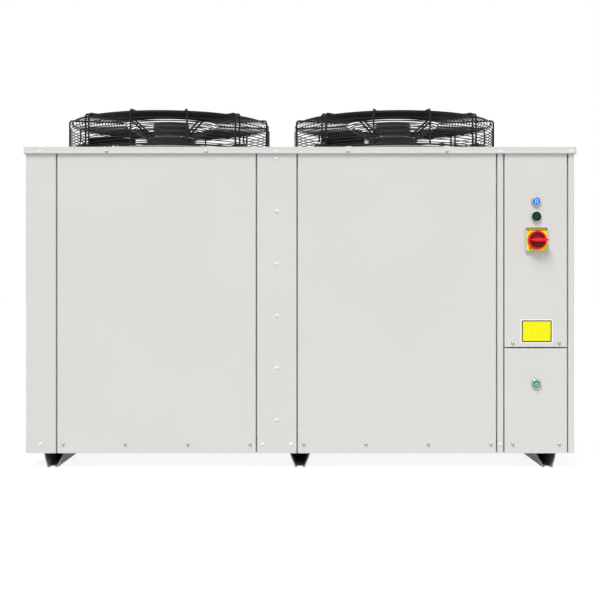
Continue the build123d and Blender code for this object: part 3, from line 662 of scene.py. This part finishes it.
def cable_duct(guard):
    """Duct along an arm from the foot to the cone, with the cable that runs on to the motor's flange."""
    line = ((158, 46), (172, 47.5), (236, 48), (300, 41), (326, 36))
    cable = ((172, 40), (140, 38), (118, 40), (104, 49), (92, 56), (78, 57))
    section = rounded_rectangle(guard.duct_height, guard.duct_width, 5 * MM, 5)
    duct = swept(upright(softened(np.array(line) * MM)), section, (0, 1, 0))
    return joined([duct, swept(upright(softened(np.array(cable) * MM)), round_section(guard.cable / 2, 12), (0, 1, 0))])


def upright(points, offset=0.0):
    """(radius, height) points stood in the xz plane, moved sideways."""
    points = np.asarray(points, float)
    return np.stack([points[:, 0], np.full(len(points), offset), points[:, 1]], axis=1)


def guard_foot(guard):
    """Clamp block on the roof: a wedge with a sloped outer side, rounded on top."""
    inner = guard.radius - 8 * MM
    outer = guard.foot_screw + 14.5 * MM
    top = guard.foot_top
    side = [(inner, 0), (outer, 0), (outer, top - 12 * MM), (guard.foot_screw + 6 * MM, top), (inner, top)]
    half = 17 * MM
    widths = np.array([-half, -half, -half + 2 * MM, half - 2 * MM, half, half])
    middle_point = np.mean(side, axis=0)
    shrink = np.array([0, 0.93, 1, 1, 0.93, 0])
    rows = middle_point + (np.array(side) - middle_point)[None] * shrink[:, None, None]
    points = np.stack([rows[:, :, 0], np.broadcast_to(widths[:, None], rows.shape[:2]), rows[:, :, 1]], axis=-1)
    return grid_surface(points, wrap_columns=True)


def pan_screw(radius, height, flange=1.25):
    """Screw head: a washer flange, a low dome and a round socket in its middle."""
    turn = np.linspace(math.radians(12), math.radians(72), 6)
    profile = [(0, 0), (radius * flange, 0), (radius * flange, 0.16 * height)]
    profile += [(radius, 0.2 * height)]
    profile += [(radius * math.cos(angle), height * math.sin(angle)) for angle in turn]
    profile += [(0.24 * radius, 0.96 * height), (0.2 * radius, 0.55 * height), (0, 0.5 * height)]
    return turned(profile, 20)


SINGLE_RODS = (15, 75, 105, 165, 195, 255, 285, 345)
ARMS = (45, 135, 225, 315)


class UNIT_OT_build_guards(Operator):
    """Weld the wire guards: fine rings, bent rods, paired arms, feet and their screws"""

    bl_idname = "unit.build_guards"
    bl_label = "Build the guards"

    def execute(self, context):
        guard = context.scene.unit_guard
        rod = round_section(guard.rod / 2)
        single = swept(upright(rod_path(guard, False)), rod, (0, 1, 0))
        arm_path = rod_path(guard, True)
        arm = joined(
            swept(upright(arm_path, side * guard.arm_spacing / 2), rod, (0, 1, 0)) for side in (-1, 1)
        )
        loop = swept(arm_loop(guard), rod, (1, 0, 0))
        duct = cable_duct(guard)
        rings = wire_rings(guard)
        foot = guard_foot(guard)
        screw = pan_screw(6 * MM, 6 * MM, 1.1)
        for side, x in FAN_X.items():
            feet = turns(x, ARMS)
            heads = turns(x, ARMS, guard.foot_top)
            heads[:, :, 3] += heads[:, :, 0] * guard.foot_screw
            add_piece(
                f"wire_guard_{side}",
                [
                    placed(rings, turns(x, 0)),
                    placed(single, turns(x, SINGLE_RODS)),
                    placed(joined([arm, loop]), feet),
                    placed(foot, feet),
                    placed(screw, heads),
                ],
                ["guard_wire", "guard_wire", "guard_wire", "guard_wire", "screw_steel"],
                "cabinet",
                (f"guard_side_{side}", f"guard_top_{side}"),
            )
            add_piece(f"cable_duct_{side}", [placed(duct, turns(x, ARMS[2]))], ["duct"], "cabinet")
        return {"FINISHED"}


def blade(fan):
    """Bent blade: an arched band z = c + sqrt(R^2 - (y - b)^2), cut to a bowed outline that widens.

    At each radius r an edge lies where its arc y(x) meets the cylinder x^2 + y^2 = r^2. The edges are half round."""
    root, reach = 80 * MM, 286 * MM
    along = fan.chord / 2 * math.cos(fan.stagger)
    down = fan.chord / 2 * math.sin(fan.stagger)
    crown = (fan.camber * math.sin(fan.stagger), fan.camber * math.cos(fan.stagger))
    (b, c), arch = circle_through([(-along, down), crown, (along, -down)])
    radius = np.linspace(84 * MM, fan.tip, 15)
    edges = []
    for side in (-1, 1):
        start, end = (root, side * fan.root_width / 2), (reach, side * fan.tip_width / 2)
        middle = ((start[0] + end[0]) / 2, (start[1] + end[1]) / 2 + fan.bow)
        (xc, yc), bend = circle_through([start, middle, end])
        y = np.full(len(radius), start[1])
        for _ in range(20):
            y = yc + np.sqrt(bend**2 - (np.sqrt(radius**2 - y**2) - xc) ** 2)
        edges.append(np.arcsin(y / radius)[:, None])
    around = np.linspace(0, 2 * np.pi, 36, endpoint=False)[None]
    share = (1 + np.cos(around)) / 2
    half = 1.5 * MM * np.sign(np.sin(around)) * np.abs(np.sin(around)) ** 0.35
    turn = edges[0] + (edges[1] - edges[0]) * share
    x, y = radius[:, None] * np.cos(turn), radius[:, None] * np.sin(turn)
    rise = np.sqrt(arch**2 - (y - b) ** 2)
    points = np.stack([x, y + half * (y - b) / arch, c + rise + half * rise / arch + fan.level], axis=-1)
    ends = points[[0, -1]].mean(axis=1, keepdims=True)
    ends = np.broadcast_to(ends, (2, *points.shape[1:]))
    return grid_surface(np.concatenate([ends[:1], points, ends[1:]]), wrap_columns=True)


def motor_profile(fan):
    """Outline of the still half of the motor, from the shaft's end to the domed cover."""
    flange, housing, top = fan.flange, fan.housing, fan.housing_top
    profile = [(0, -18 * MM), (12 * MM, -18 * MM), (12 * MM, 49 * MM)]
    profile += [(flange - 8 * MM, 49 * MM), (flange - 3 * MM, 51 * MM), (flange, 56 * MM)]
    profile += [(flange, 74 * MM), (flange - 2 * MM, 76 * MM), (housing + 3 * MM, 76 * MM)]
    profile += [(housing - 1 * MM, 80 * MM)]
    for rib in (86 * MM, 95 * MM, 104 * MM):
        profile += [
            (housing - 1.5 * MM, rib),
            (housing, rib + 1 * MM),
            (housing, rib + 4 * MM),
            (housing - 1.5 * MM, rib + 5 * MM),
        ]
    profile += [(housing, 111 * MM)]
    profile += arc((housing - 7 * MM, top - 7 * MM), 7 * MM, 0, 90, 7).tolist()
    profile += [(housing * 0.5, top + 0.0005), (0, top + 0.0005)]
    return profile


class UNIT_OT_build_fans(Operator):
    """Make the bell mouths, motors, rotors and impellers"""

    bl_idname = "unit.build_fans"
    bl_label = "Build the fans"

    def execute(self, context):
        fan = context.scene.unit_fan
        mouth = [(fan.throat, -fan.depth), (fan.throat, fan.lip_height - 6 * MM)]
        mouth += arc((fan.throat + 5.5 * MM, fan.lip_height - 5.5 * MM), 5.5 * MM, 180, 0, 13).tolist()
        mouth += [(fan.lip, fan.lip_height - 8 * MM), (fan.lip, 4 * MM)]
        mouth += arc((fan.lip + 2.5 * MM, 4 * MM), 2.5 * MM, 180, 270, 5).tolist()
        mouth += [(fan.lip + 24 * MM, 1.5 * MM), (fan.lip + 24 * MM, 0), (fan.lip - 2 * MM, 0)]
        mouth += [(fan.lip - 2 * MM, fan.lip_height - 8 * MM), (fan.throat + 2 * MM, fan.lip_height - 8 * MM)]
        mouth += [(fan.throat + 2 * MM, -fan.depth)]
        ring = turned(mouth, 128, closed=True)
        motor = turned(motor_profile(fan), 96)
        bolt = pan_screw(4.5 * MM, 3.5 * MM)
        rotor = turned(
            [(0, -40 * MM), (60 * MM, -40 * MM), (70 * MM, -37 * MM), (75 * MM, -30 * MM)]
            + [(75 * MM, 44 * MM), (12.3 * MM, 44 * MM), (12.3 * MM, -20 * MM), (0, -20 * MM)],
            96,
        )
        sleeve = turned(
            [(75.2 * MM, -44 * MM), (86 * MM, -44 * MM), (86 * MM, 40 * MM), (75.2 * MM, 40 * MM)],
            96,
            closed=True,
        )
        first = math.degrees(fan.turn)
        angles = first + np.arange(fan.blades) * 360 / fan.blades
        for side, x in FAN_X.items():
            add_piece(f"bell_mouth_{side}", [placed(ring, turns(x, 0))], ["fan_ring"], "cabinet", (f"fan_ring_{side}",))
            bolts = turns(x, np.arange(18, 378, 72), 76 * MM)
            bolts[:, :, 3] += bolts[:, :, 0] * 70 * MM
            add_piece(
                f"motor_body_{side}",
                [placed(motor, turns(x, 0)), placed(bolt, bolts)],
                ["motor", "screw_steel"],
                "cabinet",
                (f"fan_motor_{side}",),
                30,
            )
            add_piece(f"rotor_cup_{side}", [placed(rotor, turns(x, 0))], ["motor"], f"fan_{side}", (f"fan_rotor_{side}",), 30)
            add_piece(
                f"impeller_blades_{side}",
                [placed(blade(fan), turns(x, angles)), placed(sleeve, turns(x, 0))],
                ["impeller", "impeller"],
                f"fan_{side}",
                (f"fan_impeller_{side}",),
                50,
            )
        return {"FINISHED"}


# Fasteners, in metres from the middle and above the cabinet's bottom edge
BOTTOM_ROW = 27.4 * MM
CAP_ROW = 917.4 * MM
CONTROL_ROW = 335.5 * MM
BOTTOM_SCREWS = (-721.5, -531.6, -341.7, -151.8, 11, 200.8, 390.7, 580.6, 647.5, 789.4)
CONTROL_SCREWS = (647.5, 789.4)
CAP_SCREWS = (-587.9, -285.7, 145.5, 446.4)
BOTTOM_RIVETS = (-789, -113.5, -27.4, 610.7)
CAP_RIVETS = (-789.4, -70.9, 610.4, 825.9)
CENTRE_POST_X = -70.9
CENTRE_POST_RIVETS = (896.7, 736.9, 577.2, 418, 259.2, 100.3)
END_SCREWS = (-300, -100, 100, 300)


def front_places(xs, row, face, mirrored=False):
    """Points in a row on the front, or on the rear face opposite."""
    xs = np.asarray(xs, float) * MM
    y = -face if mirrored else face
    return np.stack([xs, np.full(len(xs), y), np.full(len(xs), CABINET_BOTTOM + row)], axis=1)


def on_front(points):
    """Placements that face out of the front."""
    return placement(points, (0, -1, 0), (1, 0, 0))


def on_rear(points):
    """Placements that face out of the rear."""
    return placement(points, (0, 1, 0), (-1, 0, 0))


def on_ends(ys, row, face):
    """Placements on both ends of the cabinet, in a row at one height."""
    ys = np.asarray(ys, float) * MM
    level = np.full(len(ys), CABINET_BOTTOM + row)
    right = np.stack([np.full(len(ys), face), ys, level], axis=1)
    left = right * (-1, 1, 1)
    return np.concatenate([placement(right, (1, 0, 0), (0, 1, 0)), placement(left, (-1, 0, 0), (0, -1, 0))])


class UNIT_OT_fasten_panels(Operator):
    """Put the dome screws and blind rivets on the panels, posts and roof skirt"""

    bl_idname = "unit.fasten_panels"
    bl_label = "Fasten the panels"

    def execute(self, context):
        end_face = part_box("end_panel_right")[1].x
        roof_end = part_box("roof_pan")[1].x
        screws = [
            on_front(front_places(BOTTOM_SCREWS, BOTTOM_ROW, PANEL_FRONT)),
            on_front(front_places(CONTROL_SCREWS, CONTROL_ROW, PANEL_FRONT)),
            on_front(front_places(CAP_SCREWS, CAP_ROW, ROOF_FRONT)),
            on_rear(front_places(CAP_SCREWS, CAP_ROW, ROOF_FRONT, mirrored=True)),
            on_rear(front_places(CONTROL_SCREWS, BOTTOM_ROW, PANEL_FRONT, mirrored=True)),
            on_rear(front_places(CONTROL_SCREWS, CONTROL_ROW, PANEL_FRONT, mirrored=True)),
            on_ends(END_SCREWS, BOTTOM_ROW, end_face),
            on_ends(END_SCREWS[::3], CAP_ROW, roof_end),
        ]
        post_points = np.array([(CENTRE_POST_X * MM, PANEL_FRONT, CABINET_BOTTOM + z * MM) for z in CENTRE_POST_RIVETS])
        rivets = [
            on_front(front_places(BOTTOM_RIVETS, BOTTOM_ROW, PANEL_FRONT)),
            on_front(front_places(CAP_RIVETS, CAP_ROW, ROOF_FRONT)),
            on_front(post_points),
            on_rear(front_places(BOTTOM_RIVETS, BOTTOM_ROW, PANEL_FRONT, mirrored=True)),
            on_rear(front_places(CAP_RIVETS, CAP_ROW, ROOF_FRONT, mirrored=True)),
            on_rear(post_points * (1, -1, 1)),
        ]
        rivet = turned(
            [(0, 0), (5 * MM, 0), (5 * MM, 0.5 * MM), (4 * MM, 1.5 * MM), (2.4 * MM, 1.9 * MM)]
            + [(1.5 * MM, 1.8 * MM), (1.4 * MM, 0.7 * MM), (0, 0.6 * MM)],
            20,
        )
        mandrel = turned([(0, 0.5 * MM), (1.3 * MM, 0.5 * MM), (1.1 * MM, 1.0 * MM), (0, 1.1 * MM)], 12)
        add_piece(
            "panel_screws",
            [placed(pan_screw(4.7 * MM, 4.4 * MM, 1.06), np.concatenate(screws))],
            ["screw_steel"],
            "cabinet",
            (),
            35,
        )
        rivet_places = np.concatenate(rivets)
        add_piece(
            "panel_rivets",
            [placed(rivet, rivet_places), placed(mandrel, rivet_places)],
            ["painted_rivet", "mandrel_grey"],
            "cabinet",
            (),
            35,
        )
        return {"FINISHED"}


def control_places(node, column):
    """Placement on the front at the height of a control's CAD node."""
    height = middle(node)[2]
    return on_front([(column, PANEL_FRONT, height)])


def stroke(points, width, low, high):
    """Flat line of a legend between two heights, along (x, y) points."""
    points = np.asarray(points, float)
    path = np.c_[points, np.full(len(points), (low + high) / 2)]
    return swept(path, box_section(width, high - low), (0, 0, 1))


def button_bezel(control):
    """Rounded collar of a push button."""
    inner, outer, top = control.cap + 0.35 * MM, control.bezel, 5 * MM
    profile = [(inner, 0), (outer, 0), (outer, top - 2.4 * MM)]
    profile += arc((outer - 2 * MM, top - 2 * MM), 2 * MM, 10, 90, 6).tolist()
    profile += [(inner + 0.8 * MM, top - 0.2 * MM), (inner, top - 1 * MM)]
    return turned(profile, 64, closed=True)


def button_cap(control):
    """Plunger with a rounded rim round a slightly dished face."""
    radius, proud = control.cap, 8 * MM
    profile = [(0, -14 * MM), (radius, -14 * MM), (radius, proud - 1.6 * MM)]
    profile += arc((radius - 1.4 * MM, proud - 1.4 * MM), 1.4 * MM, 0, 90, 6).tolist()
    profile += [(radius - 2.4 * MM, proud - 0.3 * MM), (radius * 0.5, proud - 0.7 * MM), (0, proud - 0.8 * MM)]
    return turned(profile, 64)


def reset_legend():
    """Letter R from a stem, a bowl and a leg."""
    low, high = 6.9 * MM, 7.6 * MM
    stem = [(-3.8, -6.4), (-3.8, 6.4)]
    bowl = [(-3.8, 5.4), (0.8, 5.4)] + arc((0.8, 2.3), 3.1, 75, -75, 9).tolist() + [(0.8, -0.8), (-3.8, -0.8)]
    leg = [(0.2, -0.8), (4, -6.4)]
    return joined(stroke(np.array(line) * MM, 1.5 * MM, low, high) for line in (stem, bowl, leg))


def power_legend():
    """Open ring with a bar in its gap."""
    low, high = 6.9 * MM, 7.6 * MM
    ring = arc((0, -0.6 * MM), 4.4 * MM, 130, 410, 24)
    bar = [(0, 0.6 * MM), (0, 5.4 * MM)]
    return joined([stroke(ring, 1.5 * MM, low, high), stroke(bar, 1.7 * MM, low, high)])


def switch_grip():
    """Lozenge grip of the main switch: pointed at the back, long to the front, rounded on top."""
    outline = [(-22, -1.5), (-4, -6.5), (33, -3), (33, 3), (-4, 6.5), (-22, 1.5)]
    return bevelled_prism(softened(np.array(outline) * MM, 3, True), 14.2 * MM, 33.4 * MM, 2.4 * MM)


class UNIT_OT_build_controls(Operator):
    """Make the push buttons, the lamp and the main switch with their legends"""

    bl_idname = "unit.build_controls"
    bl_label = "Build the controls"

    def execute(self, context):
        control = context.scene.unit_control
        column = control.column
        bezel, cap = button_bezel(control), button_cap(control)
        # Thin near-white ring laid on the bezel's face: a painted highlight; the darker bezel round it stands for
        # shade.
        inner, outer = control.cap + 0.5 * MM, control.bezel - 1.7 * MM
        face = turned([(inner, 4.7 * MM), (outer, 4.7 * MM), (outer, 5.1 * MM), (inner, 5.1 * MM)], 64, closed=True)
        for name, finish, legend in (
            ("reset", "button_blue", reset_legend()),
            ("start", "button_green", power_legend()),
        ):
            place = control_places(f"{name}_button_bezel", column)
            add_piece(
                f"{name}_collar",
                [placed(bezel, place), placed(face, place)],
                ["bezel", "bezel_painted_highlight"],
                "cabinet",
                (f"{name}_button_bezel",),
                30,
            )
            add_piece(
                f"{name}_cap",
                [placed(cap, place), placed(legend, place)],
                [finish, "legend_white"],
                f"{name}_plunger",
                (f"{name}_button",),
                30,
            )
        self.build_lamp(column)
        self.build_switch(column, control.knob)
        return {"FINISHED"}

    def build_lamp(self, column):
        """Lamp: a thin rim, a clear domed lens, the dark body behind it and a painted highlight, a bright green
        crescent on the unlit lens.
        """
        place = control_places("lamp_bezel", column)
        rim = turned(
            [(13.4 * MM, 0), (16 * MM, 0), (16 * MM, 1.6 * MM), (15.3 * MM, 2.9 * MM), (13.4 * MM, 2.9 * MM)],
            64,
            closed=True,
        )
        lens = turned(
            [(0, 1 * MM), (13 * MM, 1 * MM), (14.2 * MM, 3 * MM), (14.2 * MM, 6 * MM), (13.3 * MM, 8 * MM)]
            + [(10.4 * MM, 8.8 * MM), (5 * MM, 8.95 * MM), (0, 9 * MM)],
            64,
        )
        core = turned([(0, 8.6 * MM), (8.8 * MM, 8.6 * MM), (8.4 * MM, 9.1 * MM), (0, 9.2 * MM)], 48)
        # Crescent of bright green on the lens's rim: a painted highlight standing for the lens's reflection; the lamp
        # is not lit.
        bright = np.c_[arc((0, 0), 13 * MM, 145, 275, 25), np.full(25, 8.05 * MM)]
        glow = swept(bright, box_section(1.7 * MM, 0.9 * MM), (0, 0, 1))
        add_piece("lamp_rim", [placed(rim, place)], ["lamp_rim"], "cabinet", ("lamp_bezel",), 30)
        add_piece(
            "lamp_lens_cap",
            [placed(lens, place), placed(core, place), placed(glow, place)],
            ["lamp_green", "lamp_core", "lamp_painted_highlight"],
            "cabinet",
            ("lamp_lens",),
            30,
        )

    def build_switch(self, column, knob):
        """Main switch: yellow plate with a header strip, red round handle with a leaf grip."""
        low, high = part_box("isolator_plate")
        plate_height = high.z - low.z
        width = high.x - low.x
        place = on_front([(column, PANEL_FRONT, (low.z + high.z) / 2)])
        plate = bevelled_prism(rounded_rectangle(width + 4 * MM, plate_height + 4 * MM, 6 * MM), 0, 7 * MM, 1.2 * MM)
        face = bevelled_prism(rounded_rectangle(width - 1.5 * MM, plate_height - 2 * MM, 3 * MM), 6.5 * MM, 8 * MM, 0.3 * MM)
        header_size = 8.5 * MM
        header_y = plate_height / 2 - 1 * MM - header_size / 2
        frame_line = bevelled_prism(rounded_rectangle(width - 1.5 * MM, header_size, 2 * MM) + (0, header_y), 7.5 * MM, 8.2 * MM, 0.2 * MM)
        header = bevelled_prism(rounded_rectangle(width - 6 * MM, header_size - 4 * MM, 0.6 * MM) + (0, header_y), 7.5 * MM, 8.4 * MM, 0.2 * MM)
        axis_height = middle("isolator_handle")[2]
        axis_place = on_front([(column, PANEL_FRONT, axis_height)])
        marks = turned([(29.5 * MM, 7.8 * MM), (30.6 * MM, 7.8 * MM), (30.6 * MM, 8.15 * MM), (29.5 * MM, 8.15 * MM)], 72, closed=True)
        on_mark = stroke(np.array([(-28.5, 23), (-24.5, 27)]) * MM, 1.3 * MM, 7.8 * MM, 8.3 * MM)
        off_mark = placed(turned([(1.6 * MM, 7.8 * MM), (2.7 * MM, 7.8 * MM), (2.7 * MM, 8.3 * MM), (1.6 * MM, 8.3 * MM)], 24, closed=True), shift(-20 * MM, -26 * MM))
        positions = joined([on_mark, off_mark])
        add_piece(
            "switch_plate",
            [placed(surface, place) for surface in (plate, face, frame_line, header)]
            + [placed(marks, axis_place), placed(positions, axis_place)],
            ["isolator_edge", "isolator_yellow", "switch_black", "isolator_header", "isolator_yellow", "switch_black"],
            "cabinet",
            ("isolator_plate",),
            30,
        )
        back, rim_top, floor = 8.5 * MM, 21.5 * MM, 14.5 * MM
        rim = [(0, back), (knob, back), (knob, rim_top - 2 * MM)]
        rim += arc((knob - 2 * MM, rim_top - 2 * MM), 2 * MM, 0, 90, 6).tolist()
        rim += arc((knob - 3.6 * MM, rim_top - 1.4 * MM), 1.4 * MM, 90, 180, 5).tolist()
        rim += [(knob - 5.2 * MM, floor)]
        # The dish inside the rim takes the darker red: painted shade in the recess.
        dish = [(knob - 5.2 * MM, floor), (knob - 8 * MM, floor - 0.3 * MM), (0, floor - 0.3 * MM)]
        body = turned(rim, 96)
        disc = turned(dish, 96)
        slot = bevelled_prism(
            rounded_rectangle(5.5 * MM, 3 * MM, 1.2 * MM) + (13 * MM, 14 * MM), floor - 0.5 * MM, floor + 0.6 * MM, 0.3 * MM
        )
        add_piece(
            "switch_handle",
            [
                placed(body, axis_place),
                placed(disc, axis_place),
                placed(slot, axis_place),
                placed(switch_grip(), axis_place),
            ],
            ["isolator_red", "isolator_red_painted_shade", "switch_black", "isolator_red"],
            "isolator",
            ("isolator_handle",),
            30,
        )


class UNIT_OT_fix_plate(Operator):
    """Stick the plain plate on the upper control panel: a margin, a dark frame and a bare field"""

    bl_idname = "unit.fix_plate"
    bl_label = "Fix the plain plate"

    def execute(self, context):
        centre = (720.4 * MM, PANEL_FRONT, CABINET_BOTTOM + 371.5 * MM)
        place = on_front([centre])
        layers = (
            (98, 73, 3.5, 0, 0.25, "plate_white"),
            (91, 66, 2.5, 0.2, 0.35, "plate_dark"),
            (84.5, 59.5, 1.0, 0.3, 0.45, "plate_yellow"),
        )
        surfaces = [
            placed(
                prism(rounded_rectangle(width * MM, height * MM, corner * MM), low * MM, high * MM),
                place,
            )
            for width, height, corner, low, high, finish in layers
        ]
        add_piece("plain_plate", surfaces, [layer[-1] for layer in layers], "cabinet")
        return {"FINISHED"}


class UNIT_OT_build_coils(Operator):
    """Stack the coils' fins on their copper tubes between two end plates"""

    bl_idname = "unit.build_coils"
    bl_label = "Build the coils"

    def execute(self, context):
        pitch, fin, tube = 3.2 * MM, 0.5 * MM, 4.8 * MM
        row_pitch, column_pitch = 25.4 * MM, 22 * MM
        for side in FANS:
            low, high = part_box(f"coil_{side}")
            depth = high.y - low.y
            inset = 3 * MM
            plate = 3 * MM
            xs = np.arange(low.x + plate + pitch / 2, high.x - plate, pitch)
            core = prism(
                [(low.y + inset, low.z), (high.y - inset, low.z), (high.y - inset, high.z), (low.y + inset, high.z)],
                0,
                1,
            )
            fins = self.stood(core, xs - fin / 2, fin)
            ends = prism([(low.y, low.z), (high.y, low.z), (high.y, high.z), (low.y, high.z)], 0, 1)
            plates = self.stood(ends, np.array([low.x, high.x - plate]), plate)
            rows = np.arange(low.z + row_pitch / 2, high.z - tube, row_pitch)
            columns = (low.y + high.y) / 2 + np.array([-1, 0, 1]) * column_pitch
            centres = [(y, z + (step % 2) * row_pitch / 2) for step, y in enumerate(columns) for z in rows[:-1]]
            circle = round_section(tube, 10)
            tubes = joined(
                self.stood(prism(circle + centre, 0, 1), np.array([low.x]), high.x - low.x) for centre in centres
            )
            add_piece(
                f"finned_coil_{side}",
                [fins, tubes, plates],
                ["coil_fins", "copper_tube", "galvanised"],
                "cabinet",
                (f"coil_{side}",),
            )
        return {"FINISHED"}

    def stood(self, surface, starts, thickness):
        """Copies of a unit-deep prism laid along x at each start: its x, y and z become y, z and x."""
        points, quads = surface
        places = np.zeros((len(starts), 3, 4))
        places[:, 0, 2] = thickness
        places[:, 1, 0] = 1
        places[:, 2, 1] = 1
        places[:, 0, 3] = starts
        return placed((points, quads), places)


class UNIT_OT_build_machinery(Operator):
    """Make the compressor's and the receiver's welded shells"""

    bl_idname = "unit.build_machinery"
    bl_label = "Build the machinery"

    def execute(self, context):
        for node, crown, seam in (("compressor", 45 * MM, 0.72), ("receiver", 38 * MM, 0.5)):
            low, high = (np.array(corner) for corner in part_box(node))
            foot = 4 * MM if node == "compressor" else 0
            radius = (high[0] - low[0]) / 2 - (16 * MM if node == "compressor" else 0)
            height = high[2] - low[2]
            bead = height * seam
            profile = [(0, 0), (radius - 6 * MM, 0), (radius - 1 * MM, 6 * MM), (radius - 1 * MM, bead - 4 * MM)]
            profile += arc((radius - 1.5 * MM, bead), 1.5 * MM, -80, 80, 5).tolist()
            profile += [(radius - 1 * MM, bead + 4 * MM), (radius - 1 * MM, height - crown)]
            turn = np.radians(np.linspace(8, 90, 12))
            profile += [((radius - 1 * MM) * math.cos(a), height - crown + crown * math.sin(a)) for a in turn]
            centre = (low + high) / 2
            place = placement([(centre[0], centre[1], low[2])], (0, 0, 1), (1, 0, 0))
            surfaces = [placed(turned(profile, 64), place)]
            if foot:
                width = high[0] - low[0]
                plate = bevelled_prism(rounded_rectangle(width, width, 32 * MM), 0, foot, 0.8 * MM)
                surfaces.append(placed(plate, place))
            add_piece(f"{node}_shell", surfaces, ["machine_black"] * len(surfaces), "cabinet", (node,), 35)
        return {"FINISHED"}


def white_where_seen(tree, plain, shown, output):
    """Show a shader to the camera, mirrors and glass, and light the unit with the plain one."""
    rays = tree.nodes.new("ShaderNodeLightPath")
    seen = rays.outputs["Is Camera Ray"]
    for kind in ("Is Glossy Ray", "Is Transmission Ray"):
        either = tree.nodes.new("ShaderNodeMath")
        either.operation = "MAXIMUM"
        tree.links.new(seen, either.inputs[0])
        tree.links.new(rays.outputs[kind], either.inputs[1])
        seen = either.outputs[0]
    mixed = tree.nodes.new("ShaderNodeMixShader")
    tree.links.new(seen, mixed.inputs["Fac"])
    tree.links.new(plain, mixed.inputs[1])
    tree.links.new(shown, mixed.inputs[2])
    tree.links.new(mixed.outputs[0], output.inputs["Surface"])


def stage_floor(shadow):
    """Pale floor: it shows mostly as plain white, with a faint shadow of the unit."""
    material = new_finish("stage_floor", (0.5, 0.5, 0.5), 0.9)
    tree = material.node_tree
    shade = tree.nodes["Principled BSDF"]
    shade.inputs["Specular IOR Level"].default_value = 0
    glow = tree.nodes.new("ShaderNodeEmission")
    glow.inputs["Strength"].default_value = 1 - 0.85 * shadow
    lit = tree.nodes.new("ShaderNodeBsdfDiffuse")
    lit.inputs["Color"].default_value = (shadow, shadow, shadow, 1)
    shown = tree.nodes.new("ShaderNodeAddShader")
    tree.links.new(glow.outputs[0], shown.inputs[0])
    tree.links.new(lit.outputs[0], shown.inputs[1])
    white_where_seen(tree, shade.outputs[0], shown.outputs[0], tree.nodes["Material Output"])
    return material


def white_world(strength):
    """All-round light that shows as plain white to the camera and in reflections."""
    world = bpy.data.worlds.new("studio")
    world.use_nodes = True
    tree = world.node_tree
    light = tree.nodes["Background"]
    light.inputs["Color"].default_value = (1, 1, 1, 1)
    light.inputs["Strength"].default_value = strength
    shown = tree.nodes.new("ShaderNodeBackground")
    shown.inputs["Color"].default_value = (1, 1, 1, 1)
    white_where_seen(tree, light.outputs[0], shown.outputs[0], tree.nodes["World Output"])
    return world


def far_lamp(name, strength, towards, spread):
    """Lamp so far away that it lights every part alike, in the direction given, with soft shadows."""
    light = bpy.data.lights.new(name, "SUN")
    light.energy = strength
    light.angle = math.radians(spread)
    lamp = bpy.data.objects.new(name, light)
    lamp.location = towards
    lamp.rotation_euler = Vector(towards).to_track_quat("Z", "Y").to_euler()
    bpy.context.scene.collection.objects.link(lamp)


class UNIT_OT_set_stage(Operator):
    """Lay the floor, hang the lamps and stand the camera where the photograph was taken"""

    bl_idname = "unit.set_stage"
    bl_label = "Set the stage"

    def execute(self, context):
        stage = context.scene.unit_stage
        scene = context.scene
        disc = turned([(0, 0), (1, 0), (4, 0), (30, 0)], 64)
        mesh = bpy.data.meshes.new("floor")
        mesh.from_pydata(disc[0], [], disc[1])
        mesh.materials.append(stage_floor(stage.shadow))
        floor = bpy.data.objects.new("floor", mesh)
        scene.collection.objects.link(floor)
        scene.world = white_world(stage.world)
        far_lamp("key_lamp", stage.key, (-1.3, -2.7, 5.0), 25)
        far_lamp("fill_lamp", stage.fill, (3.6, -4.0, 2.0), 30)
        far_lamp("back_lamp", stage.back, (2.4, 4.4, 3.0), 30)
        view = bpy.data.cameras.new("camera")
        view.sensor_width = 36
        view.lens = view.sensor_width * stage.focal_pixels / stage.picture
        view.shift_y = (stage.horizon_row - stage.picture / 2) / stage.picture
        camera = bpy.data.objects.new("camera", view)
        camera.location = (0, -stage.camera_distance, stage.camera_height)
        camera.rotation_euler = (math.pi / 2, 0, 0)
        scene.collection.objects.link(camera)
        scene.camera = camera
        scene.view_settings.view_transform = "Standard"
        return {"FINISHED"}


OPERATORS = (
    UNIT_OT_finish_cabinet,
    UNIT_OT_build_guards,
    UNIT_OT_build_fans,
    UNIT_OT_fasten_panels,
    UNIT_OT_build_controls,
    UNIT_OT_fix_plate,
    UNIT_OT_build_coils,
    UNIT_OT_build_machinery,
    UNIT_OT_set_stage,
)


class UNIT_PT_panel(Panel):
    """Lists the unit's settings and the steps that build it"""

    bl_idname = "UNIT_PT_panel"
    bl_label = "Condensing unit"
    bl_space_type = "VIEW_3D"
    bl_region_type = "UI"
    bl_category = "Unit"

    def draw(self, context):
        for name, group in SETTINGS.items():
            column = self.layout.column()
            for prop in group.__annotations__:
                column.prop(getattr(context.scene, name), prop)
        for operator in OPERATORS:
            self.layout.operator(operator.bl_idname)


def register():
    """Add the settings, steps and panel to Blender."""
    for group in SETTINGS.values():
        bpy.utils.register_class(group)
    for name, group in SETTINGS.items():
        setattr(bpy.types.Scene, name, PointerProperty(type=group))
    for cls in (*OPERATORS, UNIT_PT_panel):
        bpy.utils.register_class(cls)


def unregister():
    """Take them out again."""
    for cls in (UNIT_PT_panel, *reversed(OPERATORS)):
        bpy.utils.unregister_class(cls)
    for name in SETTINGS:
        delattr(bpy.types.Scene, name)
    for group in SETTINGS.values():
        bpy.utils.unregister_class(group)


def main():
    """Build the finished unit on its stage."""
    register()
    for operator in OPERATORS:
        group, step = operator.bl_idname.split(".")
        getattr(getattr(bpy.ops, group), step)()


if __name__ == "__main__":
    main()
